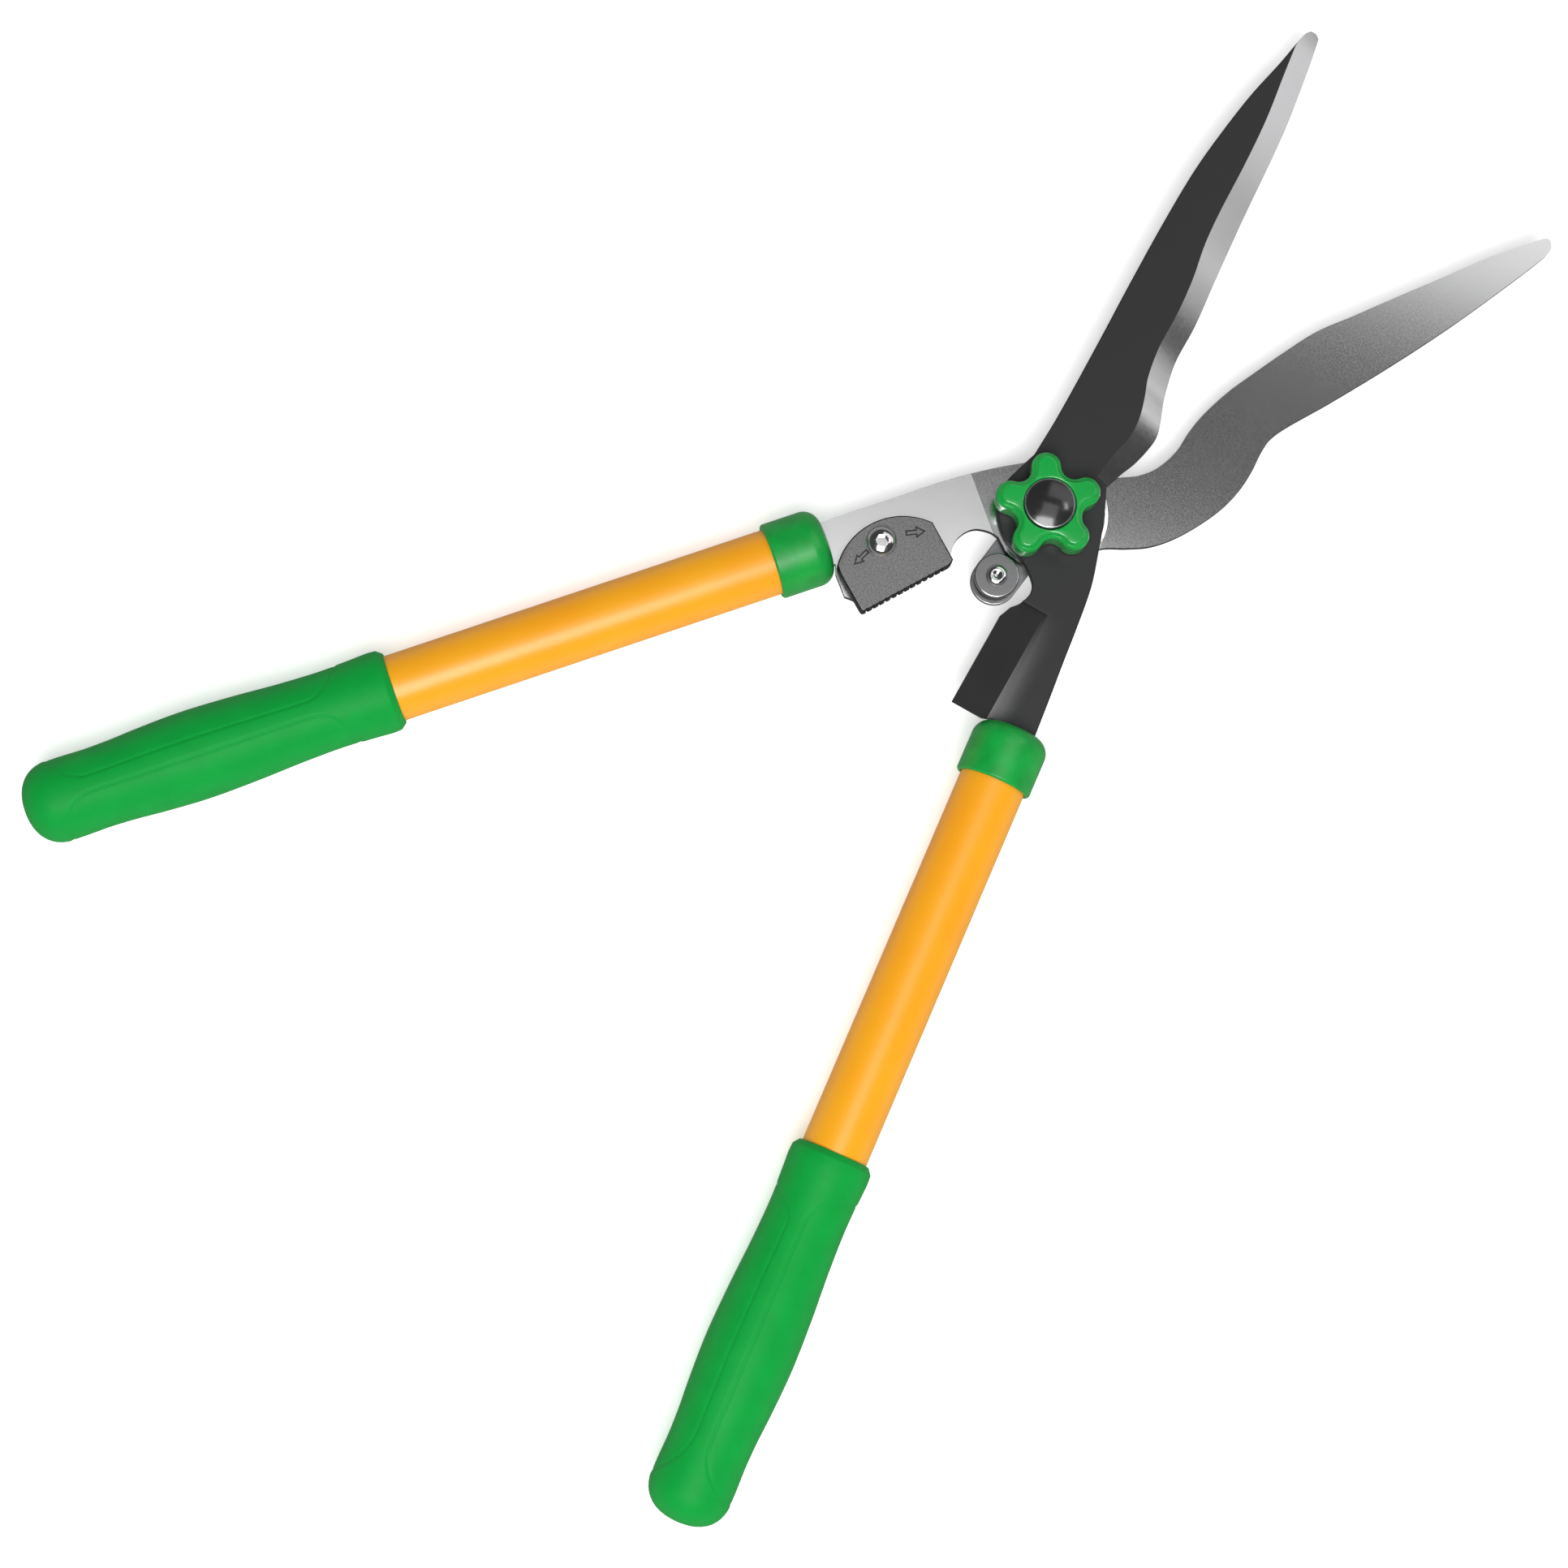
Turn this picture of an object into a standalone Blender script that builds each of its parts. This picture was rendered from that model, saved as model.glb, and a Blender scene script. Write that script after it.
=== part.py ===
"""Hedge shears with a star tension knob, a branch cutter and an adjustable anvil.

The pivot axis is +Z through the origin and the knob is on top. The back face of the pivot bolt's head
is z = 0. +Y runs forward between the two blades and the handles run back to -Y.

Each half is drawn closed, with its blade tip on +Y, and then turned about the pivot by half of the
opening angle. The upper half carries the bevelled blade and the branch cutter. The lower half carries
the plain blade and the anvil. Lengths are in millimetres, and MM turns them into metres.
"""

import math

import bmesh
import bpy
from mathutils import Matrix, Vector
from mathutils.geometry import interpolate_bezier

MM = 0.001
GAP = 0.3

# Opening
HALF_OPENING = 15.78

# Stack of layers on the pivot, from the bolt's head up to the cap
PLATE = 3.5
BOLT_HEAD_HEIGHT = 5.0
BRACKET_THICKNESS = 2.5
BRACKET_Z = BOLT_HEAD_HEIGHT + GAP
LOWER_Z = BRACKET_Z + BRACKET_THICKNESS + GAP
LOWER_TOP = LOWER_Z + PLATE
UPPER_Z = LOWER_TOP + GAP
UPPER_TOP = UPPER_Z + PLATE
KEYED_WASHER_Z = UPPER_TOP + GAP
KEYED_WASHER_THICKNESS = 1.2
SPRING_WASHER_Z = KEYED_WASHER_Z + KEYED_WASHER_THICKNESS + GAP
SPRING_WASHER_THICKNESS = 1.0
KNOB_Z = UPPER_TOP + 0.6
KNOB_HEIGHT = 11.0
KNOB_TOP = KNOB_Z + KNOB_HEIGHT

# Pivot
BOLT_RADIUS = 5.0
BOLT_FLAT = 4.1
BOLT_HEAD_FLATS = 17.0
SLIP_RADIUS = BOLT_RADIUS + GAP
BUSHING_RADIUS = 6.4
FRICTION_WASHER_RADIUS = 12.0
FRICTION_WASHER_THICKNESS = 0.6
WASHER_RADIUS = 9.3

# Knob
LOBES = 5
LOBE_TIP = 18.9
LOBE_RADIUS = 5.2
VALLEY = 12.0
LOBE_PHASE = -5.7
CAP_RADIUS = 8.9
CAP_SEAT_DEPTH = 1.5
CAP_DOME = 1.9
NUT_FLATS = 15.0
NUT_HEIGHT = 5.0

# Bumper, which floats on the pivot between the two tangs
BUMPER_REACH = 29.5
BUMPER_ANGLE = 262.3
BUMPER_RUBBER_RADIUS = 7.1
BUMPER_DISC_RADIUS = 7.9
BUMPER_DISC_THICKNESS = 2.0
BRACKET_HALF_WIDTH = 8.3
RIVET_RADIUS = 1.6
RIVET_HEAD_RADIUS = 2.8
RIVET_HEAD_HEIGHT = 1.2

# Handles
TUBE_RADIUS = 11.75
TUBE_WALL = 1.1
TUBE_SHOWN = 138.4
TUBE_IN_FERRULE = 14.0
TUBE_IN_GRIP = 100.0
FERRULE_RADIUS = 13.55
FERRULE_LENGTH = 20.3
FERRULE_SHOULDER = 6.0
PLUG_END = 22.0
TANG_END = 14.0

# Grip's outside from its front rim, as (distance, radius)
GRIP_PROFILE = [(0.0, 12.3), (1.9, 14.25), (5.4, 14.6), (14.0, 14.15), (22.0, 13.95), (36.0, 14.3),
                (55.0, 15.4), (73.0, 15.9), (88.0, 15.3), (100.0, 14.5), (108.0, 14.3), (118.0, 14.55),
                (124.0, 14.4), (128.4, 12.8), (131.2, 9.7), (132.5, 5.2), (132.8, 0.0)]

# Handle axis of each half in its own closed frame: where the bare tube starts, and a point at its end
UPPER_HANDLE = ((30.0, -93.4), (57.3, -355.5))
LOWER_HANDLE = ((-31.3, -92.6), (-76.4, -352.2))
UPPER_TANG = (-8.2, 7.1)
LOWER_TANG = (-7.5, 8.2)

# Anvil
ANVIL_CENTRE = (-1.2, -56.8)
ANVIL_RADIUS = 24.0
ANVIL_THICKNESS = 6.5
ANVIL_EDGE = 0.9
ANVIL_TOOTH = 0.5
ANVIL_TEETH = 16
SCREW_AT = (-17.6, -56.5)
SCREW_RADIUS = 3.0
SCREW_HEAD_RADIUS = 5.3
SCREW_HEAD_HEIGHT = 3.3
SCREW_SOCKET_FLATS = 4.0

# Branch cutter: the ground face along the upper tang, from its edge to the hollow beside the tang
CUTTER_X = 3.8
CUTTER_HOLLOW_X = 17.3
CUTTER_HOLLOW_DEPTH = 1.3
CUTTER_EDGE_DEPTH = 2.7
CUTTER_TOP_Y = -32.3
CUTTER_BOTTOM_Y = -75.1

# Facets
ROUND_STEPS = 32
SMALL_STEPS = 24
CURVE_STEPS = 3

PARTS = "hedge_shears"
CUTTERS = "cutters"


# ---------------------------------------------------------------- scene, materials and placing

def clear_scene():
    for thing in list(bpy.data.objects):
        bpy.data.objects.remove(thing, do_unlink=True)


def make_collection(name):
    collection = bpy.data.collections.new(name)
    bpy.context.scene.collection.children.link(collection)
    return collection


def make_material(name, colour, roughness, metallic):
    material = bpy.data.materials.new(name)
    material.use_nodes = True
    shader = material.node_tree.nodes["Principled BSDF"]
    shader.inputs["Base Color"].default_value = (*colour, 1.0)
    shader.inputs["Roughness"].default_value = roughness
    shader.inputs["Metallic"].default_value = metallic
    material.diffuse_color = (*colour, 1.0)
    return material


def add_object(name, mesh, parent=None, matrix=None, collection=PARTS):
    thing = bpy.data.objects.new(name, mesh)
    bpy.data.collections[collection].objects.link(thing)
    thing.parent = parent
    thing.matrix_local = matrix or Matrix.Identity(4)
    return thing


def add_empty(name, parent=None, matrix=None):
    empty = add_object(name, None, parent, matrix)
    empty.empty_display_size = 10 * MM
    return empty


def dress(thing, material):
    thing.data.materials.append(material)
    thing.data.shade_smooth()
    thing.data.set_sharp_from_angle(angle=math.radians(35))
    return thing


def at(x=0.0, y=0.0, z=0.0):
    return Matrix.Translation((x * MM, y * MM, z * MM))


def turned_by(degrees):
    return Matrix.Rotation(math.radians(degrees), 4, "Z")


# ---------------------------------------------------------------- shapes

def turned(name, profile, parent=None, matrix=None, steps=ROUND_STEPS, closed=False, collection=PARTS):
    """A turned solid about local Z. The profile is (radius, height), running down the outer side."""
    mesh = bpy.data.meshes.new(name)
    points = [(radius * MM, 0.0, height * MM) for radius, height in profile]
    edges = [(i, i + 1) for i in range(len(points) - 1)]
    if closed:
        edges.append((len(points) - 1, 0))
    mesh.from_pydata(points, edges, [])
    thing = add_object(name, mesh, parent, matrix, collection)
    screw = thing.modifiers.new("turn", "SCREW")
    screw.axis = "Z"
    screw.steps = steps
    screw.render_steps = steps
    screw.use_merge_vertices = True
    screw.merge_threshold = 0.00001
    return thing


def ring(name, outer, inner, low, high, parent=None, matrix=None, steps=SMALL_STEPS, edge=0.0):
    profile = [(outer - edge, high), (outer, high - edge), (outer, low + edge), (outer - edge, low)]
    if edge == 0.0:
        profile = [(outer, high), (outer, low)]
    return turned(name, [(inner, high), *profile, (inner, low)], parent, matrix, steps, closed=True)


def mesh_from_curve(name, curve):
    """The curve's solid as a mesh with its caps welded on."""
    holder = bpy.data.objects.new(name, curve)
    bpy.context.scene.collection.objects.link(holder)
    evaluated = holder.evaluated_get(bpy.context.evaluated_depsgraph_get())
    mesh = bpy.data.meshes.new_from_object(evaluated)
    bpy.data.objects.remove(holder, do_unlink=True)
    work = bmesh.new()
    work.from_mesh(mesh)
    bmesh.ops.remove_doubles(work, verts=work.verts, dist=0.00001)
    bmesh.ops.recalc_face_normals(work, faces=work.faces)
    work.to_mesh(mesh)
    work.free()
    return mesh


def flat_plate(name, outlines, low, high, parent=None, matrix=None, collection=PARTS):
    """A plate between two heights. Each outline after the first is a hole."""
    curve = bpy.data.curves.new(name, "CURVE")
    curve.dimensions = "2D"
    curve.fill_mode = "BOTH"
    curve.extrude = (high - low) * MM / 2
    for outline in outlines:
        spline = curve.splines.new("POLY")
        spline.points.add(len(outline) - 1)
        for point, (x, y) in zip(spline.points, outline):
            point.co = (x * MM, y * MM, 0.0, 1.0)
        spline.use_cyclic_u = True
    mesh = mesh_from_curve(name, curve)
    mesh.transform(at(z=(low + high) / 2))
    return add_object(name, mesh, parent, matrix, collection)


def arc(centre, radius, start, end, steps):
    """Points on an arc from the start angle to the end angle, in degrees."""
    points = []
    for i in range(steps + 1):
        angle = math.radians(start + (end - start) * i / steps)
        points.append((centre[0] + radius * math.cos(angle), centre[1] + radius * math.sin(angle)))
    return points


def circle(centre, radius, steps=SMALL_STEPS):
    return arc(centre, radius, 0.0, 360.0 * (steps - 1) / steps, steps - 1)


def cylinder(name, radius, low, high, parent=None, matrix=None, steps=SMALL_STEPS, collection=PARTS):
    profile = [(0.0, high), (radius, high), (radius, low), (0.0, low)]
    return turned(name, profile, parent, matrix, steps, collection=collection)


def hexagon(flats):
    return circle((0.0, 0.0), flats / math.sqrt(3.0), 6)


def block(name, size, centre, parent=None, matrix=None, collection=CUTTERS):
    mesh = bpy.data.meshes.new(name)
    work = bmesh.new()
    bmesh.ops.create_cube(work, size=1.0)
    bmesh.ops.scale(work, vec=[side * MM for side in size], verts=work.verts)
    bmesh.ops.translate(work, vec=[place * MM for place in centre], verts=work.verts)
    work.to_mesh(mesh)
    work.free()
    return add_object(name, mesh, parent, matrix, collection)


def cut(target, cutter, operation="DIFFERENCE"):
    boolean = target.modifiers.new(cutter.name, "BOOLEAN")
    boolean.operation = operation
    boolean.solver = "EXACT"
    boolean.object = cutter
    cutter.hide_render = True
    cutter.display_type = "WIRE"


def bevelled(thing, width, segments=2, angle=40):
    bevel = thing.modifiers.new("round_edges", "BEVEL")
    bevel.width = width * MM
    bevel.segments = segments
    bevel.limit_method = "ANGLE"
    bevel.angle_limit = math.radians(angle)
    return thing


# ---------------------------------------------------------------- blade outlines

def smooth_stretch(points):
    """Points on a smooth curve through a stretch of outline, with the ground width carried along."""
    result = []
    for i in range(len(points) - 1):
        before = points[max(i - 1, 0)]
        after = points[min(i + 2, len(points) - 1)]
        here = Vector(points[i])
        there = Vector(points[i + 1])
        span = (there.xy - here.xy).length
        leave = (there - Vector(before)) * span / max((there.xy - Vector(before).xy).length, span) / 3
        arrive = (Vector(after) - here) * span / max((Vector(after).xy - here.xy).length, span) / 3
        steps = interpolate_bezier(here, here + leave, there - arrive, there, CURVE_STEPS + 1)
        result.extend(steps[:-1])
    return result


def blade_outline(stretches):
    """Joins stretches of (x, y, ground width) into one closed outline. Stretches meet at corners."""
    points = []
    for i, stretch in enumerate(stretches):
        corner = stretches[(i + 1) % len(stretches)][0]
        points.extend(smooth_stretch([*stretch, corner]))
    return points


def inward(points, i):
    """The unit normal into a clockwise outline at point i."""
    along = points[(i + 1) % len(points)].xy - points[i - 1].xy
    return Vector((along.y, -along.x)).normalized()


def blade_mesh(name, points, low, high, edge_on_top):
    """A plate whose cutting edge is ground on one face: a loft of the outline and its ground inset."""
    land = 0.35
    lofts = [(low, False), (low + land, False), (high, True)]
    if edge_on_top:
        lofts = [(high, False), (high - land, False), (low, True)]
    mesh = bpy.data.meshes.new(name)
    work = bmesh.new()
    loops = []
    for height, inset in lofts:
        loop = []
        for i, point in enumerate(points):
            place = point.xy
            if inset:
                place = place + inward(points, i) * point.z
            loop.append(work.verts.new((place.x * MM, place.y * MM, height * MM)))
        loops.append(loop)
    count = len(points)
    for lower, upper in zip(loops, loops[1:]):
        for i in range(count):
            j = (i + 1) % count
            work.faces.new((lower[i], lower[j], upper[j], upper[i]))
    for loop in (loops[0], loops[-1]):
        cap = work.faces.new(loop)
        bmesh.ops.triangulate(work, faces=[cap])
    bmesh.ops.recalc_face_normals(work, faces=work.faces)
    work.to_mesh(mesh)
    work.free()
    return mesh


def handle_axis(handle):
    start = Vector(handle[0])
    along = (Vector(handle[1]) - start).normalized()
    side = Vector((-along.y, along.x))
    return start, along, side


def on_handle(handle, station, offset):
    """A point of the blade's plane, by its distance along the handle and its offset to +X."""
    start, along, side = handle_axis(handle)
    point = start + along * station + side * offset
    return (point.x, point.y, 0.0)


UPPER_STRETCHES = [
    # cutting edge, from the tip back to the boss
    [(2.0, 202.5, 4.0), (4.1, 190.6, 8.0), (7.6, 164.8, 8.0), (10.1, 128.7, 8.5), (12.1, 104.4, 7.6),
     (13.8, 86.0, 7.6), (14.1, 70.3, 8.0), (17.0, 57.0, 8.0), (20.3, 47.6, 8.2), (21.2, 42.0, 8.2),
     (19.2, 32.0, 7.4), (16.6, 25.4, 5.6)],
    # boss and the outer side of the tang
    [(14.2, 18.6, 0.0), (17.4, 11.6, 0.0), (20.2, 4.7, 0.0), (22.6, -2.5, 0.0), (26.7, -15.6, 0.0),
     (29.2, -30.4, 0.0), (31.0, -43.7, 0.0), (33.0, -57.5, 0.0)],
    # tang inside the handle
    [on_handle(UPPER_HANDLE, -21.5, UPPER_TANG[1])],
    [on_handle(UPPER_HANDLE, TANG_END, UPPER_TANG[1])],
    [on_handle(UPPER_HANDLE, TANG_END, UPPER_TANG[0])],
    [on_handle(UPPER_HANDLE, -20.8, UPPER_TANG[0])],
    # branch cutter, then the wavy run-out above it
    [(15.6, CUTTER_BOTTOM_Y, 0.0)],
    [(CUTTER_X, CUTTER_BOTTOM_Y, 0.0)],
    [(CUTTER_X, -40.2, 0.0), (4.6, -38.3, 0.0), (5.6, -35.8, 0.0), (7.4, -33.6, 0.0)],
    # recess for the bumper, boss and spine
    [(8.7, -31.2, 0.0), (9.2, -28.5, 0.0), (8.7, -25.8, 0.0), (6.9, -23.6, 0.0), (3.5, -20.9, 0.0),
     (-1.3, -18.2, 0.0), (-6.4, -16.2, 0.0), (-9.9, -13.9, 0.0), (-13.1, -10.7, 0.0), (-15.6, -6.8, 0.0),
     (-17.1, -2.0, 0.0), (-17.2, 2.6, 0.0), (-15.8, 8.4, 0.0)],
    [(-13.4, 16.0, 0.0), (-12.9, 32.0, 0.0), (-13.2, 60.0, 0.0), (-13.9, 90.0, 0.0), (-14.1, 116.0, 0.0),
     (-13.6, 136.0, 0.0), (-11.9, 153.0, 0.0), (-9.4, 170.3, 0.0), (-6.0, 186.0, 0.0), (-3.2, 200.6, 0.0)],
    [(-1.8, 203.0, 0.0), (0.2, 203.4, 1.5)],
]

LOWER_STRETCHES = [
    # spine, from the tip back to the boss
    [(2.1, 208.4, 0.0), (4.0, 204.2, 0.0), (6.6, 190.5, 0.0), (10.2, 162.5, 0.0), (12.4, 135.7, 0.0),
     (13.6, 109.8, 0.0), (13.9, 91.0, 0.0), (14.9, 84.0, 0.0), (17.6, 78.4, 0.0), (22.0, 71.9, 0.0),
     (25.8, 64.6, 0.0), (28.4, 55.9, 0.0), (29.6, 45.4, 0.0), (29.5, 35.0, 0.0), (27.8, 26.4, 0.0),
     (24.4, 19.0, 0.0), (20.6, 12.0, 0.0)],
    # boss, hidden by the upper half
    [(19.2, 5.6, 0.0), (19.7, -3.4, 0.0), (15.4, -12.8, 0.0), (7.6, -18.4, 0.0)],
    # notch that receives the bumper
    [(-0.8, -18.8, 0.0), (-3.1, -19.8, 0.0), (-5.4, -21.9, 0.0), (-7.1, -24.4, 0.0), (-7.7, -27.4, 0.0),
     (-7.2, -31.0, 0.0), (-5.8, -33.6, 0.0)],
    # tang under the anvil
    [(-2.7, -37.0, 0.0)],
    [(-4.0, -73.0, 0.0)],
    [(-8.0, -76.3, 0.0)],
    [(-16.4, -75.1, 0.0)],
    # tang inside the handle
    [on_handle(LOWER_HANDLE, -20.9, LOWER_TANG[1])],
    [on_handle(LOWER_HANDLE, TANG_END, LOWER_TANG[1])],
    [on_handle(LOWER_HANDLE, TANG_END, LOWER_TANG[0])],
    # outer side of the tang and boss
    [on_handle(LOWER_HANDLE, -21.5, LOWER_TANG[0]), (-33.9, -62.7, 0.0), (-31.9, -51.2, 0.0),
     (-29.9, -39.7, 0.0), (-28.8, -32.8, 0.0), (-26.3, -20.4, 0.0), (-23.1, -8.1, 0.0), (-19.8, 2.0, 0.0),
     (-17.6, 8.0, 0.0), (-13.2, 15.0, 0.0), (-7.0, 21.0, 0.0)],
    # cutting edge, ground on the hidden back face
    [(-0.6, 25.8, 0.0), (1.4, 30.2, 3.0), (3.9, 36.3, 7.0), (4.6, 43.5, 8.0), (2.6, 52.1, 8.0),
     (-1.2, 59.3, 8.0), (-4.4, 67.4, 8.0), (-7.3, 79.3, 8.0), (-8.7, 90.0, 8.0), (-10.2, 103.6, 8.0),
     (-11.2, 118.0, 8.0), (-9.9, 132.3, 8.0), (-8.6, 148.0, 8.0), (-6.8, 167.6, 8.0),
     (-5.4, 184.7, 8.0), (-3.1, 200.0, 6.0)],
    [(-1.2, 209.2, 2.0)],
]


# ---------------------------------------------------------------- blades

def double_d(radius, flat):
    """A circle with two parallel flats, as on a keyed bolt."""
    start = math.degrees(math.asin(flat / radius))
    left = arc((0.0, 0.0), radius, 180.0 - start, 180.0 + start, 6)
    right = arc((0.0, 0.0), radius, -start, start, 6)
    return [*right, *left]


def branch_cutter_grind(parent):
    """Solid that grinds the cutter's face: a hollow at the tang, then a flat running to the edge."""
    hollow = CUTTER_HOLLOW_X
    depth = CUTTER_HOLLOW_DEPTH
    slope = (CUTTER_EDGE_DEPTH - depth) / (hollow - CUTTER_X)
    past_edge = 3.0
    drops = [(hollow + 1.7, -1.0), (hollow + 1.7, 0.0), (hollow + 1.3, depth * 0.5),
             (hollow + 0.7, depth * 0.85), (hollow, depth),
             (CUTTER_X - past_edge, CUTTER_EDGE_DEPTH + slope * past_edge), (CUTTER_X - past_edge, -1.0)]
    section = [(x, UPPER_TOP - drop) for x, drop in drops]
    length = CUTTER_TOP_Y - CUTTER_BOTTOM_Y + 1.0
    grind = flat_plate("branch_cutter_grind", [section], 0.0, length, parent, collection=CUTTERS)
    stand = Matrix.Rotation(math.radians(90), 4, "X")
    grind.matrix_local = at(y=CUTTER_TOP_Y) @ stand
    return grind


def build_upper_blade(parent, material):
    mesh = blade_mesh("upper_blade", blade_outline(UPPER_STRETCHES), UPPER_Z, UPPER_TOP, False)
    blade = add_object("upper_blade", mesh, parent)
    key = double_d(SLIP_RADIUS, BOLT_FLAT + GAP)
    hole = flat_plate("upper_hole", [key], UPPER_Z - 1.0, UPPER_TOP + 1.0, parent, collection=CUTTERS)
    cut(blade, hole)
    cut(blade, branch_cutter_grind(parent))
    dress(blade, material)


def build_lower_blade(parent, material):
    mesh = blade_mesh("lower_blade", blade_outline(LOWER_STRETCHES), LOWER_Z, LOWER_TOP, True)
    blade = add_object("lower_blade", mesh, parent)
    low = LOWER_Z - 1.0
    high = LOWER_TOP + 1.0
    seat_floor = LOWER_TOP - FRICTION_WASHER_THICKNESS - GAP
    spots = [("bushing_hole", BUSHING_RADIUS + GAP, low, high, (0.0, 0.0)),
             ("washer_seat", FRICTION_WASHER_RADIUS + GAP, seat_floor, high, (0.0, 0.0)),
             ("screw_hole", SCREW_RADIUS + GAP, low, high, SCREW_AT)]
    for name, radius, bottom, top, place in spots:
        cutter = cylinder(name, radius, bottom, top, parent, at(*place), collection=CUTTERS)
        cut(blade, cutter)
    dress(blade, material)


# ---------------------------------------------------------------- handles

def handle_matrix(handle, height):
    """Local Z runs along the handle from the bare tube's start, and local Y points up."""
    start, along, side = handle_axis(handle)
    forward = Vector((along.x, along.y, 0.0))
    up = Vector((0.0, 0.0, 1.0))
    turn = Matrix((up.cross(forward), up, forward)).transposed().to_4x4()
    return at(start.x, start.y, height) @ turn


def tang_slot(name, tang, low, high, parent):
    width = tang[1] - tang[0] + 2 * GAP
    middle = (tang[0] + tang[1]) / 2
    size = (width, PLATE + 2 * GAP, high - low)
    return block(name, size, (middle, 0.0, (low + high) / 2), parent)


def build_ferrule(name, parent, tang, material):
    wall = FERRULE_LENGTH - TUBE_IN_FERRULE - GAP
    shoulder = arc((FERRULE_RADIUS - FERRULE_SHOULDER, FERRULE_SHOULDER - FERRULE_LENGTH),
                   FERRULE_SHOULDER, 0.0, -90.0, 6)
    bore = TUBE_RADIUS + GAP
    profile = [(bore, 0.0), (FERRULE_RADIUS - 0.9, 0.0), (FERRULE_RADIUS, -0.9), *shoulder,
               (0.0, -FERRULE_LENGTH), (0.0, wall - FERRULE_LENGTH), (bore, wall - FERRULE_LENGTH)]
    ferrule = turned(name, profile, parent, closed=True)
    slot = tang_slot(name + "_slot", tang, -FERRULE_LENGTH - 2.0, -FERRULE_LENGTH + wall + 2.0, parent)
    cut(ferrule, slot)
    dress(ferrule, material)


def build_tang_plug(name, parent, tang, material):
    radius = TUBE_RADIUS - TUBE_WALL - GAP
    plug = cylinder(name, radius, -TUBE_IN_FERRULE, PLUG_END, parent)
    slot = tang_slot(name + "_slot", tang, -TUBE_IN_FERRULE - 2.0, TANG_END + GAP, parent)
    cut(plug, slot)
    dress(plug, material)


def build_grip(name, parent, material):
    bore = TUBE_RADIUS + GAP
    outside = [(radius, TUBE_SHOWN + station) for station, radius in reversed(GRIP_PROFILE)]
    bore_end = TUBE_SHOWN + TUBE_IN_GRIP + 1.0
    profile = [*outside, (bore, TUBE_SHOWN), (bore, bore_end), (0.0, bore_end)]
    grip = turned(name, profile, parent)
    dress(grip, material)


def build_handle(half, handle, tang, height, parent, materials):
    frame = add_empty(half + "_handle_axis", parent, handle_matrix(handle, height))
    build_ferrule(half + "_ferrule", frame, tang, materials["green"])
    build_tang_plug(half + "_tang_plug", frame, tang, materials["plug"])
    tube = ring(half + "_tube", TUBE_RADIUS, TUBE_RADIUS - TUBE_WALL, -TUBE_IN_FERRULE,
                TUBE_SHOWN + TUBE_IN_GRIP, frame, steps=ROUND_STEPS)
    dress(tube, materials["orange"])
    build_grip(half + "_grip", frame, materials["green"])


# ---------------------------------------------------------------- pivot

def build_pivot(upper, lower, materials):
    head = flat_plate("pivot_bolt", [hexagon(BOLT_HEAD_FLATS)], 0.0, BOLT_HEAD_HEIGHT, upper)
    bolt_end = KNOB_TOP - CAP_SEAT_DEPTH - 0.6
    shank_low = BOLT_HEAD_HEIGHT - 1.0
    shank = cylinder("bolt_shank", BOLT_RADIUS, shank_low, bolt_end, upper, collection=CUTTERS)
    cut(head, shank, "UNION")
    for side in (-1.0, 1.0):
        depth = 4.0
        middle = side * (BOLT_FLAT + depth / 2)
        size = (20.0, depth, bolt_end + 2.0 - UPPER_Z)
        flat = block("bolt_flat", size, (0.0, middle, (bolt_end + 2.0 + UPPER_Z) / 2), upper)
        cut(head, flat)
    dress(head, materials["zinc"])

    washer_top = KEYED_WASHER_Z + KEYED_WASHER_THICKNESS
    outlines = [circle((0.0, 0.0), WASHER_RADIUS), double_d(SLIP_RADIUS, BOLT_FLAT + GAP)]
    keyed = flat_plate("keyed_washer", outlines, KEYED_WASHER_Z, washer_top, upper)
    dress(keyed, materials["zinc"])

    washer_low = LOWER_TOP - FRICTION_WASHER_THICKNESS
    friction_bore = BUSHING_RADIUS + GAP
    friction = ring("friction_washer", FRICTION_WASHER_RADIUS, friction_bore, washer_low, LOWER_TOP, lower)
    dress(friction, materials["nylon"])

    bushing = ring("pivot_bushing", BUSHING_RADIUS, SLIP_RADIUS, LOWER_Z, LOWER_TOP, lower)
    dress(bushing, materials["brass"])


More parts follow.
